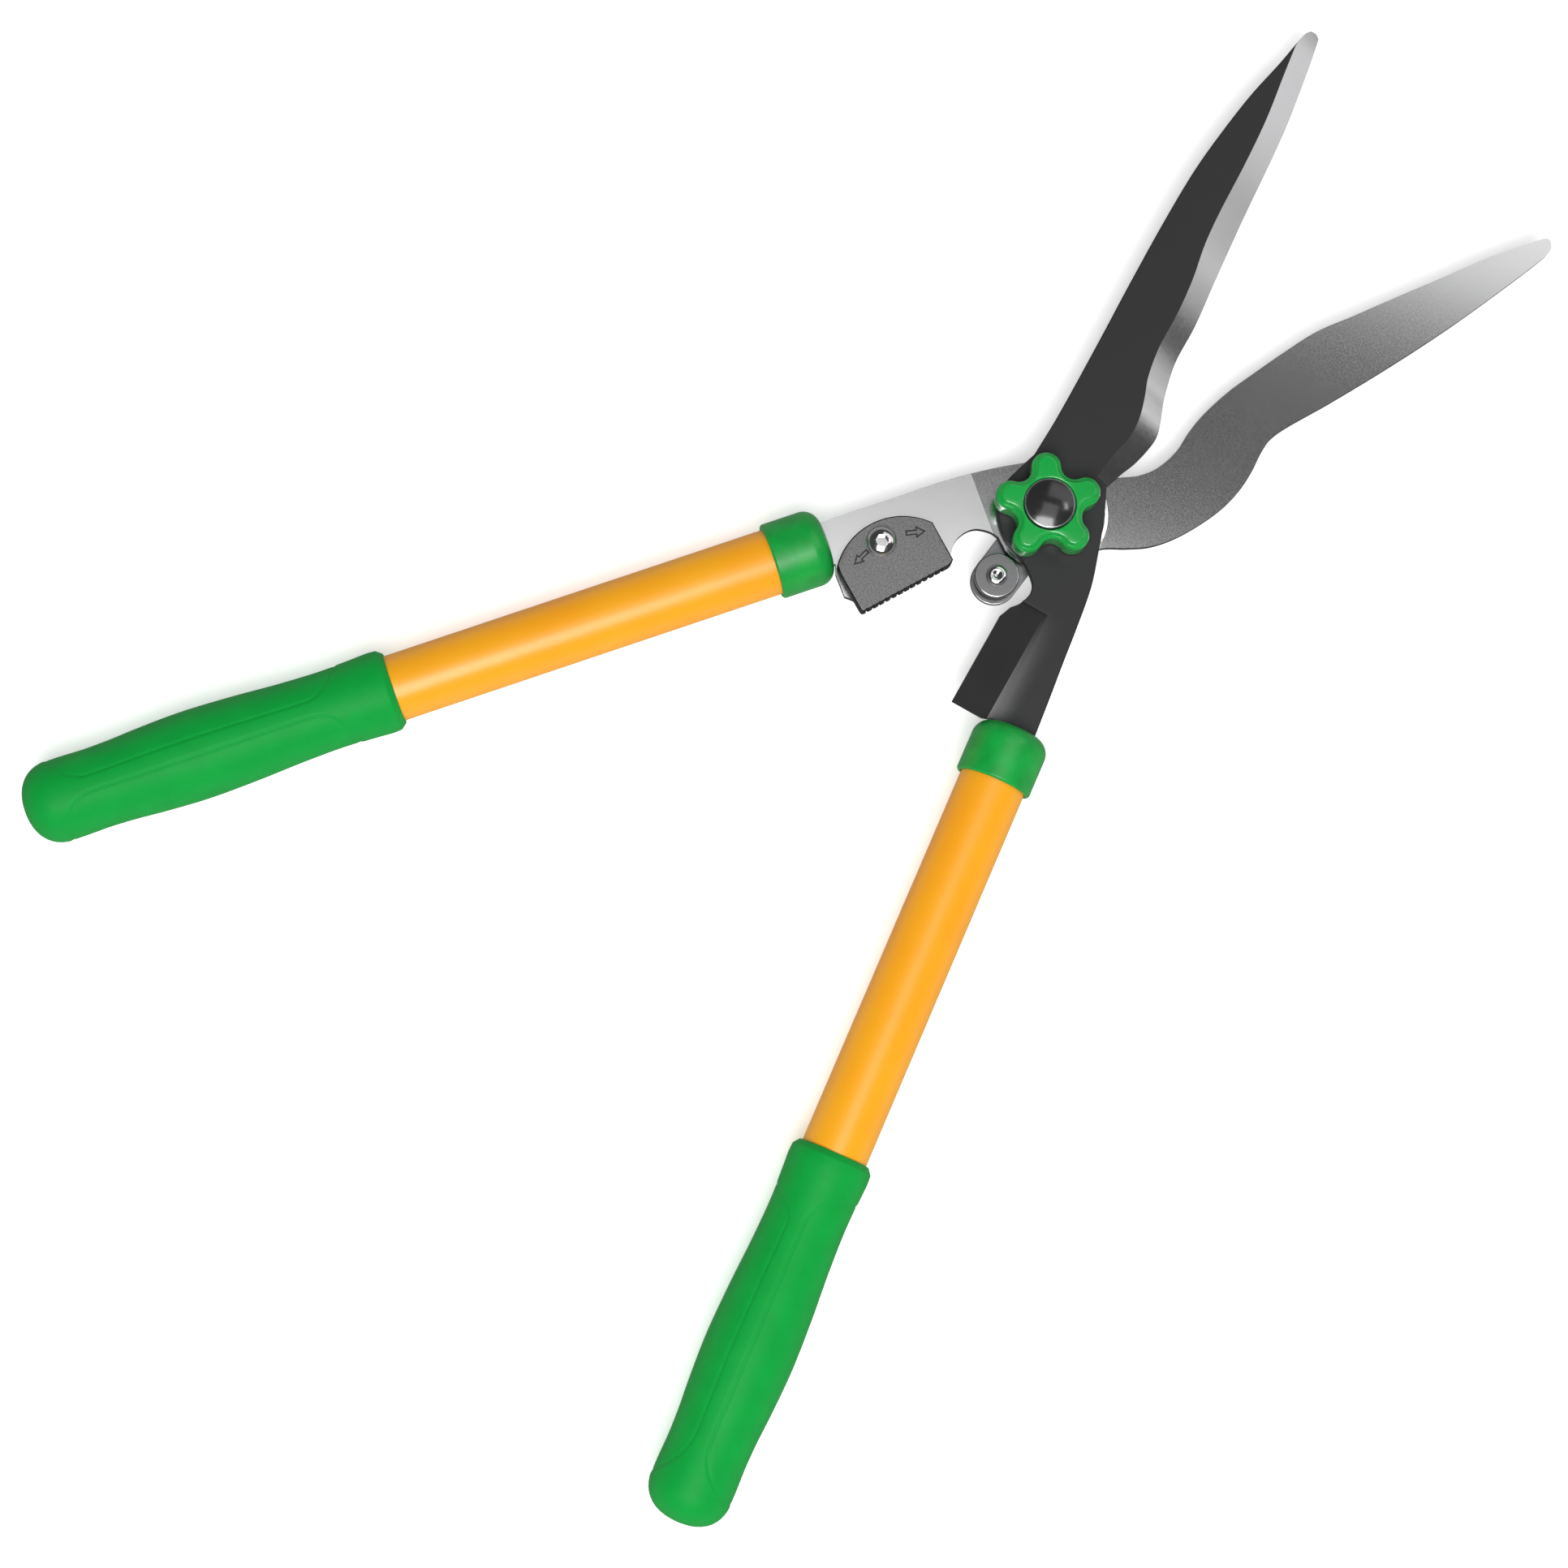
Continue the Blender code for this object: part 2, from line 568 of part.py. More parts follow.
def build_bumper(parent, materials):
    """A rubber stop riveted to an arm that turns on the pivot bolt behind the lower blade."""
    arm = add_empty("bumper_arm_axis", parent, turned_by(BUMPER_ANGLE))
    end = (BUMPER_REACH, 0.0)
    capsule = [*arc(end, BRACKET_HALF_WIDTH, -90.0, 90.0, 12),
               *arc((0.0, 0.0), BRACKET_HALF_WIDTH, 90.0, 270.0, 12)]
    hole = circle((0.0, 0.0), SLIP_RADIUS)
    rivet_hole = circle(end, RIVET_RADIUS + GAP, 16)
    bracket_top = BRACKET_Z + BRACKET_THICKNESS
    bracket = flat_plate("bumper_bracket", [capsule, hole, rivet_hole], BRACKET_Z, bracket_top, arm)
    dress(bracket, materials["grey_steel"])

    place = at(*end)
    rubber_low = bracket_top + GAP
    rubber_top = UPPER_TOP + 0.2
    bore = RIVET_RADIUS + GAP
    rubber = ring("bumper_rubber", BUMPER_RUBBER_RADIUS, bore, rubber_low, rubber_top, arm, place)
    dress(rubber, materials["rubber"])

    disc_low = rubber_top + GAP
    disc_top = disc_low + BUMPER_DISC_THICKNESS
    disc = ring("bumper_disc", BUMPER_DISC_RADIUS, bore, disc_low, disc_top, arm, place, edge=0.4)
    dress(disc, materials["grey_steel"])

    head_low = disc_top + GAP
    head_top = head_low + RIVET_HEAD_HEIGHT
    foot_top = BRACKET_Z - GAP
    foot_low = foot_top - RIVET_HEAD_HEIGHT
    wide = RIVET_HEAD_RADIUS
    profile = [(0.0, head_top), (wide * 0.6, head_top - 0.2), (wide, head_low + 0.2), (wide, head_low),
               (RIVET_RADIUS, head_low), (RIVET_RADIUS, foot_top), (wide, foot_top), (wide, foot_low + 0.3),
               (wide * 0.8, foot_low), (0.0, foot_low)]
    rivet = turned("bumper_rivet", profile, arm, place, steps=16)
    dress(rivet, materials["zinc"])


# ---------------------------------------------------------------- knob

def star_outline():
    """Five round lobes joined by round valleys that run tangent to them."""
    lobe_centre = LOBE_TIP - LOBE_RADIUS
    half_pitch = math.pi / LOBES
    spread = 2 * lobe_centre * math.cos(half_pitch)
    # radius of the valley arc that touches both lobes and the valley circle
    top = lobe_centre ** 2 + VALLEY ** 2 - spread * VALLEY - LOBE_RADIUS ** 2
    valley_radius = top / (2 * LOBE_RADIUS - 2 * VALLEY + spread)
    valley_centre = VALLEY + valley_radius
    lobe = Vector((lobe_centre, 0.0))
    valley = Vector((valley_centre * math.cos(half_pitch), valley_centre * math.sin(half_pitch)))
    touch = math.degrees(math.atan2(valley.y - lobe.y, valley.x - lobe.x))
    points = []
    for i in range(LOBES):
        turn = Matrix.Rotation(i * 2 * half_pitch, 2)
        stretch = arc(lobe, LOBE_RADIUS, -touch, touch, 10)
        half_valley = 180.0 + touch
        mirrored = 2 * math.degrees(half_pitch) + 180.0 - touch
        stretch += arc(valley, valley_radius, half_valley, mirrored, 6)[1:-1]
        points.extend(tuple(turn @ Vector(point)) for point in stretch)
    return points


def build_knob(parent, materials):
    frame = add_empty("knob_axis", parent, turned_by(LOBE_PHASE))
    knob = flat_plate("knob", [star_outline()], KNOB_Z, KNOB_TOP, frame)
    bevelled(knob, 1.5)
    washer_room = SPRING_WASHER_Z + SPRING_WASHER_THICKNESS + GAP
    nut_low = washer_room + 1.2 + GAP
    nut_top = nut_low + NUT_HEIGHT
    cap_seat = KNOB_TOP - CAP_SEAT_DEPTH
    cap_hole = CAP_RADIUS + GAP
    washer_hole = WASHER_RADIUS + GAP
    profile = [(0.0, KNOB_TOP + 1.0), (cap_hole, KNOB_TOP + 1.0), (cap_hole, cap_seat),
               (SLIP_RADIUS, cap_seat), (SLIP_RADIUS, washer_room), (washer_hole, washer_room),
               (washer_hole, KNOB_Z - 1.0), (0.0, KNOB_Z - 1.0)]
    bore = turned("knob_bore", profile, frame, steps=SMALL_STEPS, collection=CUTTERS)
    cut(knob, bore)
    room = hexagon(NUT_FLATS + 2 * GAP)
    pocket = flat_plate("nut_pocket", [room], nut_low - GAP, cap_seat + 0.6, frame, collection=CUTTERS)
    cut(knob, pocket)
    dress(knob, materials["knob_green"])

    nut_outlines = [hexagon(NUT_FLATS), circle((0.0, 0.0), SLIP_RADIUS)]
    nut = flat_plate("knob_nut", nut_outlines, nut_low, nut_top, frame)
    dress(nut, materials["zinc"])

    rim = cap_seat + GAP + 1.4
    rises = [(0.0, 1.0), (0.35, 0.9), (0.68, 0.62), (0.9, 0.28), (1.0, 0.0)]
    dome = [(CAP_RADIUS * share, rim + CAP_DOME * rise) for share, rise in rises]
    cap = turned("knob_cap", [*dome, (CAP_RADIUS, cap_seat + GAP), (0.0, cap_seat + GAP)], frame)
    dress(cap, materials["cap"])


def build_spring_washer(parent, materials):
    top = SPRING_WASHER_Z + SPRING_WASHER_THICKNESS
    washer = ring("spring_washer", WASHER_RADIUS, SLIP_RADIUS, SPRING_WASHER_Z, top, parent)
    dress(washer, materials["zinc"])


# ---------------------------------------------------------------- anvil

def anvil_outline():
    """A D: a round back, straight ends and a toothed edge facing the branch cutter."""
    back = arc(ANVIL_CENTRE, ANVIL_RADIUS, 126.0, 226.0, 14)
    low = back[-1][1] - 0.6
    high = back[0][1] - 0.2
    teeth = []
    pitch = (high - 2.4 - low - 1.0) / ANVIL_TEETH
    for i in range(ANVIL_TEETH):
        start = low + 1.0 + i * pitch
        teeth.append((ANVIL_EDGE, start))
        teeth.append((ANVIL_EDGE - ANVIL_TOOTH, start + pitch / 2))
    foot = [(-14.5, low), (ANVIL_EDGE - 0.7, low)]
    head = [(ANVIL_EDGE, high - 2.4), (ANVIL_EDGE - 1.2, high)]
    return [*back, *foot, *teeth, *head]


def build_anvil(lower, materials):
    low = LOWER_TOP + GAP
    high = low + ANVIL_THICKNESS
    hinge = add_empty("anvil_axis", lower, at(*SCREW_AT))
    moved = [(x - SCREW_AT[0], y - SCREW_AT[1]) for x, y in anvil_outline()]
    anvil = flat_plate("anvil", [moved, circle((0.0, 0.0), SCREW_RADIUS + GAP)], low, high, hinge)
    dress(anvil, materials["cast"])

    place = at(*SCREW_AT)
    head_low = high + GAP
    foot = LOWER_Z - 7.0
    head = arc((0.0, head_low), SCREW_HEAD_RADIUS, 90.0, 0.0, 6)
    dome = [(x, head_low + (z - head_low) * SCREW_HEAD_HEIGHT / SCREW_HEAD_RADIUS) for x, z in head]
    shank = [(SCREW_RADIUS, head_low), (SCREW_RADIUS, foot + 0.5), (SCREW_RADIUS - 0.5, foot)]
    profile = [*dome, *shank, (0.0, foot)]
    screw = turned("anvil_screw", profile, lower, place, steps=SMALL_STEPS)
    socket = flat_plate("screw_socket", [hexagon(SCREW_SOCKET_FLATS)], head_low + 1.0,
                        head_low + SCREW_HEAD_HEIGHT + 1.0, lower, place, collection=CUTTERS)
    cut(screw, socket)
    dress(screw, materials["chrome"])

    washer_top = LOWER_Z - GAP
    washer_low = washer_top - 1.2
    washer = ring("anvil_washer", 6.0, SCREW_RADIUS + GAP, washer_low, washer_top, lower, place)
    dress(washer, materials["zinc"])
    nut_top = washer_low - GAP
    nut = flat_plate("anvil_nut", [hexagon(10.0), circle((0.0, 0.0), SCREW_RADIUS + GAP)], nut_top - 4.5,
                     nut_top, lower, place)
    dress(nut, materials["zinc"])


# ---------------------------------------------------------------- assembly

def make_materials():
    return {
        "black_blade": make_material("black_blade", (0.035, 0.035, 0.037), 0.45, 0.6),
        "steel_blade": make_material("steel_blade", (0.55, 0.55, 0.56), 0.35, 1.0),
        "grey_steel": make_material("grey_steel", (0.32, 0.32, 0.33), 0.4, 1.0),
        "zinc": make_material("zinc", (0.62, 0.62, 0.64), 0.35, 1.0),
        "chrome": make_material("chrome", (0.8, 0.8, 0.82), 0.12, 1.0),
        "cast": make_material("cast", (0.3, 0.3, 0.3), 0.6, 0.8),
        "brass": make_material("brass", (0.7, 0.5, 0.2), 0.35, 1.0),
        "nylon": make_material("nylon", (0.8, 0.8, 0.76), 0.5, 0.0),
        "plug": make_material("plug", (0.08, 0.08, 0.08), 0.6, 0.0),
        "rubber": make_material("rubber", (0.02, 0.02, 0.02), 0.8, 0.0),
        "orange": make_material("orange", (0.95, 0.36, 0.02), 0.3, 0.0),
        "green": make_material("green", (0.012, 0.36, 0.06), 0.45, 0.0),
        "knob_green": make_material("knob_green", (0.015, 0.4, 0.07), 0.15, 0.0),
        "cap": make_material("cap", (0.06, 0.06, 0.065), 0.3, 0.5),
    }


def build():
    clear_scene()
    make_collection(PARTS)
    make_collection(CUTTERS)
    materials = make_materials()
    pivot = add_empty("pivot")
    upper = add_empty("upper_half_axis", pivot, turned_by(HALF_OPENING))
    lower = add_empty("lower_half_axis", pivot, turned_by(-HALF_OPENING))
    build_upper_blade(upper, materials["black_blade"])
    build_lower_blade(lower, materials["steel_blade"])
    build_handle("upper", UPPER_HANDLE, UPPER_TANG, (UPPER_Z + UPPER_TOP) / 2, upper, materials)
    build_handle("lower", LOWER_HANDLE, LOWER_TANG, (LOWER_Z + LOWER_TOP) / 2, lower, materials)
    build_pivot(upper, lower, materials)
    build_bumper(upper, materials)
    build_spring_washer(pivot, materials)
    build_knob(pivot, materials)
    build_anvil(lower, materials)


build()
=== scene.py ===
"""Hedge shears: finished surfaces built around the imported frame.

Row frame in metres. The pivot axis is +Z through the origin, and the knob is on top. Each half is drawn
closed, in millimetres, with its blade tip on +Y, and then turned about the pivot.
"""

import math

import bmesh
import bpy
import numpy as np
from mathutils import Matrix, Vector
from mathutils.geometry import interpolate_bezier


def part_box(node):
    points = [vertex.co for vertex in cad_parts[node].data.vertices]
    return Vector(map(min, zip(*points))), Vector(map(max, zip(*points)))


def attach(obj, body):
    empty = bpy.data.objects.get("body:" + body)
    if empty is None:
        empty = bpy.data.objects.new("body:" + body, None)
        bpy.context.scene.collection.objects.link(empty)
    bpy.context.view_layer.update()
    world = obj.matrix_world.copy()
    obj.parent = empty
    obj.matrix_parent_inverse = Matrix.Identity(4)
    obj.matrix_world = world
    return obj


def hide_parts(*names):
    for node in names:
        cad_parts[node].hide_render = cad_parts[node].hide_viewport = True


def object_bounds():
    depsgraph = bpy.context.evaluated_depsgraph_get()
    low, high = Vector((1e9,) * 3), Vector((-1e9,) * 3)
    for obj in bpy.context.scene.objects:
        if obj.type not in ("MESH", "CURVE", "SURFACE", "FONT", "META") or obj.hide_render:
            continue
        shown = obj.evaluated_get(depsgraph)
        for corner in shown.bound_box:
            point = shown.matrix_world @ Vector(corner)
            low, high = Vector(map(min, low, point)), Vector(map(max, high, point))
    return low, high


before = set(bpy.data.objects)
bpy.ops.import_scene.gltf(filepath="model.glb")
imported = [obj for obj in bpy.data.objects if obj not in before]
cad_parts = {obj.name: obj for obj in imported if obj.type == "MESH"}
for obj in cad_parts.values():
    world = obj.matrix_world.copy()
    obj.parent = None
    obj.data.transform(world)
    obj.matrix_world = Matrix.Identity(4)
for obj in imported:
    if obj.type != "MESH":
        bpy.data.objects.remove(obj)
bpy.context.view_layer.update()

MM = 0.001
GAP = 0.3
HALF_OPENING = 15.78
UPPER = Matrix.Rotation(math.radians(HALF_OPENING), 4, "Z")
LOWER = Matrix.Rotation(math.radians(-HALF_OPENING), 4, "Z")
TO_METRES = Matrix.Scale(MM, 4)


def span(node):
    """Lowest and highest z of a CAD node, in millimetres."""
    low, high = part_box(node)
    return low.z / MM, high.z / MM


UPPER_LOW, UPPER_TOP = span("upper_blade")
LOWER_LOW, LOWER_TOP = span("lower_blade")
KNOB_LOW, KNOB_TOP = span("knob")
CAP_LOW, CAP_TOP = span("knob_cap")
ANVIL_LOW, ANVIL_TOP = span("anvil")
SCREW_LOW, SCREW_TOP = span("anvil_screw")
RUBBER_LOW, RUBBER_TOP = span("bumper_rubber")
DISC_LOW, DISC_TOP = span("bumper_disc")
RIVET_LOW, RIVET_TOP = span("bumper_rivet")
BRACKET_LOW, BRACKET_TOP = span("bumper_bracket")


# ---- materials

class Paint:
    """A Principled material and the few nodes its pattern needs."""

    def __init__(self, name, colour, roughness, metallic=0.0, turn=0.0):
        self.material = bpy.data.materials.new(name)
        self.material.use_nodes = True
        self.tree = self.material.node_tree
        self.shader = self.tree.nodes["Principled BSDF"]
        self.value("Base Color", (*colour, 1.0))
        self.value("Roughness", roughness)
        self.value("Metallic", metallic)
        self.colour = colour
        self.place = self.node("ShaderNodeTexCoord").outputs["Object"]
        if turn:
            mapping = self.node("ShaderNodeMapping")
            mapping.inputs["Rotation"].default_value[2] = math.radians(turn)
            self.link(self.place, mapping.inputs["Vector"])
            self.place = mapping.outputs["Vector"]

    def value(self, socket, value):
        self.shader.inputs[socket].default_value = value

    def node(self, kind, **values):
        node = self.tree.nodes.new(kind)
        for key, value in values.items():
            setattr(node, key, value)
        return node

    def link(self, source, target):
        self.tree.links.new(source, target)

    def stretched(self, scale):
        """The place with each axis scaled, for grain that runs one way."""
        mapping = self.node("ShaderNodeMapping")
        mapping.inputs["Scale"].default_value = scale
        self.link(self.place, mapping.inputs["Vector"])
        return mapping.outputs["Vector"]

    def noise(self, per_mm, detail=3.0, stretch=None, rough=0.5):
        noise = self.node("ShaderNodeTexNoise")
        noise.inputs["Scale"].default_value = per_mm / MM
        noise.inputs["Detail"].default_value = detail
        noise.inputs["Roughness"].default_value = rough
        self.link(self.stretched(stretch) if stretch else self.place, noise.inputs["Vector"])
        return noise.outputs["Fac"]

    def ramp(self, source, low, high, out_low=0.0, out_high=1.0):
        """The source's stretch from low to high, mapped to out_low to out_high and held beyond."""
        ramp = self.node("ShaderNodeMapRange")
        ramp.inputs["From Min"].default_value = low
        ramp.inputs["From Max"].default_value = high
        ramp.inputs["To Min"].default_value = out_low
        ramp.inputs["To Max"].default_value = out_high
        self.link(source, ramp.inputs["Value"])
        return ramp.outputs["Result"]

    def mix(self, amount, first, second):
        """A colour between two colours, or between a colour and what another mix gives."""
        mix = self.node("ShaderNodeMix", data_type="RGBA")
        self.link(amount, mix.inputs["Factor"])
        for socket, value in ((mix.inputs["A"], first), (mix.inputs["B"], second)):
            if isinstance(value, tuple):
                socket.default_value = (*value, 1.0)
            else:
                self.link(value, socket)
        return mix.outputs["Result"]

    def shade(self, amount, low, high):
        """The base colour times low to high, as amount goes from 0 to 1."""
        dark = tuple(c * low for c in self.colour)
        light = tuple(min(c * high, 1.0) for c in self.colour)
        return self.mix(amount, dark, light)

    def set_colour(self, source):
        self.link(source, self.shader.inputs["Base Color"])

    def set_roughness(self, source, low, high):
        self.link(self.ramp(source, 0.3, 0.7, low, high), self.shader.inputs["Roughness"])

    def bump(self, source, strength, depth_mm):
        bump = self.node("ShaderNodeBump")
        bump.inputs["Strength"].default_value = strength
        bump.inputs["Distance"].default_value = depth_mm * MM
        self.link(source, bump.inputs["Height"])
        self.link(bump.outputs["Normal"], self.shader.inputs["Normal"])


def moulded(name, colour, roughness, grain, strength, mottle=0.08, coat=0.0, specular=0.5):
    """Moulded plastic or rubber with a fine grain."""
    paint = Paint(name, colour, roughness)
    paint.value("Specular IOR Level", specular)
    fine = paint.noise(grain, 2.0)
    cloud = paint.ramp(paint.noise(0.12, 3.0), 0.3, 0.7)
    paint.set_colour(paint.shade(cloud, 1.0 - mottle, 1.0 + mottle))
    paint.set_roughness(fine, roughness - 0.05, roughness + 0.06)
    paint.bump(fine, strength, 0.04)
    paint.value("Coat Weight", coat)
    paint.value("Coat Roughness", 0.06)
    return paint.material


def satin_steel(name, colour, roughness, grain=(1.0, 1.0, 1.0), turn=0.0, contrast=0.06):
    """Satin steel with a fine grain, drawn out along one axis where it is brushed."""
    paint = Paint(name, colour, roughness, 1.0, turn)
    fine = paint.noise(1.7, 3.0, grain, 0.6)
    cloud = paint.noise(0.04, 3.0)
    dark = tuple(c * (1.0 - contrast) for c in colour)
    light = tuple(min(c * (1.0 + contrast), 1.0) for c in colour)
    tone = paint.mix(paint.ramp(cloud, 0.3, 0.7), dark, colour)
    paint.set_colour(paint.mix(paint.ramp(fine, 0.35, 0.7), tone, light))
    paint.set_roughness(fine, roughness - 0.02, roughness + 0.03)
    paint.bump(fine, 0.04, 0.01)
    return paint.material


def coated(name, colour, roughness):
    """Dull black coating on a rolled plate."""
    paint = Paint(name, colour, roughness)
    paint.value("Specular IOR Level", 0.28)
    fine = paint.noise(3.0, 3.0)
    cloud = paint.ramp(paint.noise(0.06, 4.0), 0.3, 0.7)
    paint.set_colour(paint.shade(cloud, 0.88, 1.12))
    paint.set_roughness(fine, roughness - 0.05, roughness + 0.07)
    paint.bump(fine, 0.1, 0.02)
    return paint.material


def coat_with_painted_sheen(name, colour, roughness, sheen_colour):
    """Black coating with a painted sheen: lighter grey beside the branch cutter's face, most of all at the
    handle end.
    """
    paint = Paint(name, colour, roughness, 0.0, -HALF_OPENING)
    paint.value("Specular IOR Level", 0.35)
    # painted sheen: the coat turns lighter grey towards the cutter's ramp and towards the handle end
    split = paint.node("ShaderNodeSeparateXYZ")
    paint.link(paint.place, split.inputs["Vector"])
    across = paint.ramp(split.outputs["X"], 17.2 * MM, 27.0 * MM, 1.0, 0.0)
    steep = paint.node("ShaderNodeMath", operation="POWER")
    steep.inputs[1].default_value = 2.2
    paint.link(across, steep.inputs[0])
    along = paint.ramp(split.outputs["Y"], -78.0 * MM, -31.0 * MM, 1.0, 0.0)
    product = paint.node("ShaderNodeMath", operation="MULTIPLY")
    paint.link(steep.outputs["Value"], product.inputs[0])
    paint.link(along, product.inputs[1])
    paint.set_colour(paint.mix(product.outputs["Value"], colour, sheen_colour))
    fine = paint.noise(3.0, 3.0)
    paint.set_roughness(fine, roughness - 0.04, roughness + 0.06)
    paint.bump(fine, 0.1, 0.02)
    return paint.material


def lacquered(name, colour, roughness):
    """Satin paint on a tube, with the faintest orange peel."""
    paint = Paint(name, colour, roughness)
    peel = paint.noise(0.9, 2.0)
    cloud = paint.ramp(paint.noise(0.03, 3.0), 0.3, 0.7)
    warm = (colour[0], colour[1] * 0.93, colour[2])
    light = (colour[0], colour[1] * 1.05, colour[2] * 1.2)
    paint.set_colour(paint.mix(cloud, warm, light))
    paint.set_roughness(peel, roughness - 0.03, roughness + 0.04)
    paint.bump(peel, 0.05, 0.02)
    return paint.material


def cast_grain(name, colour, roughness):
    """Grainy sand-blasted casting."""
    paint = Paint(name, colour, roughness, 0.75)
    grain = paint.noise(1.6, 4.0, rough=0.65)
    pores = paint.noise(0.7, 2.0)
    paint.set_colour(paint.shade(paint.ramp(grain, 0.35, 0.68), 0.72, 1.35))
    paint.set_roughness(pores, roughness - 0.08, roughness + 0.1)
    paint.bump(grain, 0.5, 0.12)
    return paint.material


def plated(name, colour, roughness):
    """Plated small hardware."""
    paint = Paint(name, colour, roughness, 1.0)
    fine = paint.noise(1.2, 3.0)
    paint.set_colour(paint.shade(paint.ramp(fine, 0.3, 0.7), 0.92, 1.04))
    paint.set_roughness(fine, max(roughness - 0.04, 0.03), roughness + 0.05)
    return paint.material


GREEN = (0.004, 0.345, 0.047)
MATERIALS = {
    "coat": coated("blade_black", (0.018, 0.018, 0.019), 0.44),
    # the upper blade's top face and cutter grind, with a painted sheen near the branch cutter
    "coat_painted_sheen": coat_with_painted_sheen("blade_black_painted_sheen", (0.021, 0.021, 0.022), 0.42, (0.3, 0.3, 0.3)),
    "bevel": satin_steel("blade_bevel", (0.64, 0.64, 0.65), 0.2, (1.0, 0.5, 1.0), -HALF_OPENING, 0.05),
    "edge": satin_steel("blade_edge", (0.85, 0.85, 0.86), 0.2),
    "steel": satin_steel("blade_steel", (0.8, 0.8, 0.81), 0.15, contrast=0.05),
    "pad": satin_steel("pad_steel", (0.68, 0.68, 0.69), 0.17, contrast=0.05),
    "tang": satin_steel("tang_steel", (0.95, 0.95, 0.96), 0.24, contrast=0.02),
    "side": coated("side_black", (0.015, 0.015, 0.015), 0.5),
    "back": satin_steel("back_steel", (0.5, 0.5, 0.51), 0.3, (1.0, 0.2, 1.0), contrast=0.1),
    "bracket": satin_steel("bracket_steel", (0.3, 0.3, 0.31), 0.38, (1.0, 0.15, 1.0), HALF_OPENING, 0.12),
    "disc": satin_steel("disc_steel", (0.24, 0.24, 0.245), 0.34, contrast=0.08),
    "rim": plated("bright_rim", (0.55, 0.55, 0.56), 0.16),
    "zinc": plated("zinc_plate", (0.62, 0.62, 0.64), 0.3),
    "chrome": plated("chrome_plate", (0.8, 0.8, 0.81), 0.12),
    "brass": plated("turned_brass", (0.72, 0.5, 0.2), 0.3),
    "cast": cast_grain("cast_grey", (0.2, 0.2, 0.2), 0.5),
    "cast_dark": cast_grain("cast_shadow", (0.05, 0.05, 0.05), 0.6),
    # near black, for the anvil's side walls: the casting's dark scale, deepened with painted shade
    "cast_side_shade": cast_grain("cast_scale_and_shade", (0.012, 0.012, 0.012), 0.5),
    "orange": lacquered("orange_lacquer", (0.97, 0.41, 0.011), 0.34),
    "ferrule": moulded("ferrule_green", GREEN, 0.36, 1.6, 0.1, 0.14),
    "grip": moulded("grip_green", GREEN, 0.5, 2.4, 0.16, 0.04, 0.0, 0.12),
    "knob": moulded("knob_green", (0.006, 0.37, 0.055), 0.2, 0.8, 0.03, 0.04, 0.5, 0.4),
    "cap": moulded("cap_gunmetal", (0.022, 0.022, 0.023), 0.16, 1.0, 0.01, 0.03, 0.0, 0.7),
    "rubber": moulded("black_rubber", (0.012, 0.012, 0.012), 0.55, 1.8, 0.2),
    "plug": moulded("black_plug", (0.05, 0.05, 0.05), 0.6, 1.5, 0.2),
    "nylon": moulded("white_nylon", (0.75, 0.75, 0.71), 0.5, 1.5, 0.1),
}


# ---- mesh helpers

class Shell:
    """A solid's points and faces while it is being made, in millimetres."""

    def __init__(self):
        self.points = []
        self.faces = []
        self.kinds = []

    def ring(self, points):
        start = len(self.points)
        self.points.extend(tuple(point) for point in points)
        return list(range(start, len(self.points)))

    def face(self, corners, kind=0):
        self.faces.append(tuple(corners))
        self.kinds.append(kind)

    def skin(self, first, second, kinds=0):
        """Quads between two rings. kinds is one number, or one for each quad."""
        count = len(first)
        for i in range(count):
            j = (i + 1) % count
            kind = kinds if isinstance(kinds, int) else kinds[i]
            self.face((first[i], first[j], second[j], second[i]), kind)

    def loft(self, rings, kinds=0):
        """Quads from each ring to the next."""
        for first, second in zip(rings, rings[1:]):
            self.skin(first, second, kinds)

    def caps(self, rings, first=0, last=0):
        self.face(rings[0], first)
        self.face(rings[-1], last)

    def mesh(self, name, matrix):
        mesh = bpy.data.meshes.new(name)
        mesh.from_pydata(self.points, [], self.faces)
        mesh.polygons.foreach_set("material_index", self.kinds)
        work = bmesh.new()
        work.from_mesh(mesh)
        flat = [face for face in work.faces if len(face.verts) > 4]
        bmesh.ops.triangulate(work, faces=flat)
        bmesh.ops.recalc_face_normals(work, faces=work.faces)
        work.to_mesh(mesh)
        work.free()
        mesh.transform(matrix @ TO_METRES)
        return mesh


def add_object(name, data):
    thing = bpy.data.objects.new(name, data)
    bpy.context.scene.collection.objects.link(thing)
    return thing


def solid(name, shell, matrix, materials=()):
    """An object for a shell, not yet riding on anything."""
    thing = add_object(name, shell.mesh(name, matrix))
    for material in materials:
        thing.data.materials.append(MATERIALS[material])
    return thing


def bake_modifiers(thing):
    evaluated = thing.evaluated_get(bpy.context.evaluated_depsgraph_get())
    mesh = bpy.data.meshes.new_from_object(evaluated)
    thing.modifiers.clear()
    thing.data = mesh


def carve(thing, cutters):
    """Cuts each cutter from the thing, for good."""
    for cutter in cutters:
        boolean = thing.modifiers.new("carve", "BOOLEAN")
        boolean.operation = "DIFFERENCE"
        boolean.solver = "EXACT"
        boolean.material_mode = "INDEX"
        boolean.object = cutter
    bake_modifiers(thing)
    for cutter in cutters:
        bpy.data.objects.remove(cutter, do_unlink=True)


def finish_piece(thing, body, replaces, sharp):
    """Shades the piece, with edges sharper than the angle kept, and hangs it on its body."""
    thing.data.shade_smooth()
    thing.data.set_sharp_from_angle(angle=math.radians(sharp))
    weighted = thing.modifiers.new("normals", "WEIGHTED_NORMAL")
    weighted.keep_sharp = True
    bake_modifiers(thing)
    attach(thing, body)
    if replaces:
        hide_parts(*replaces)


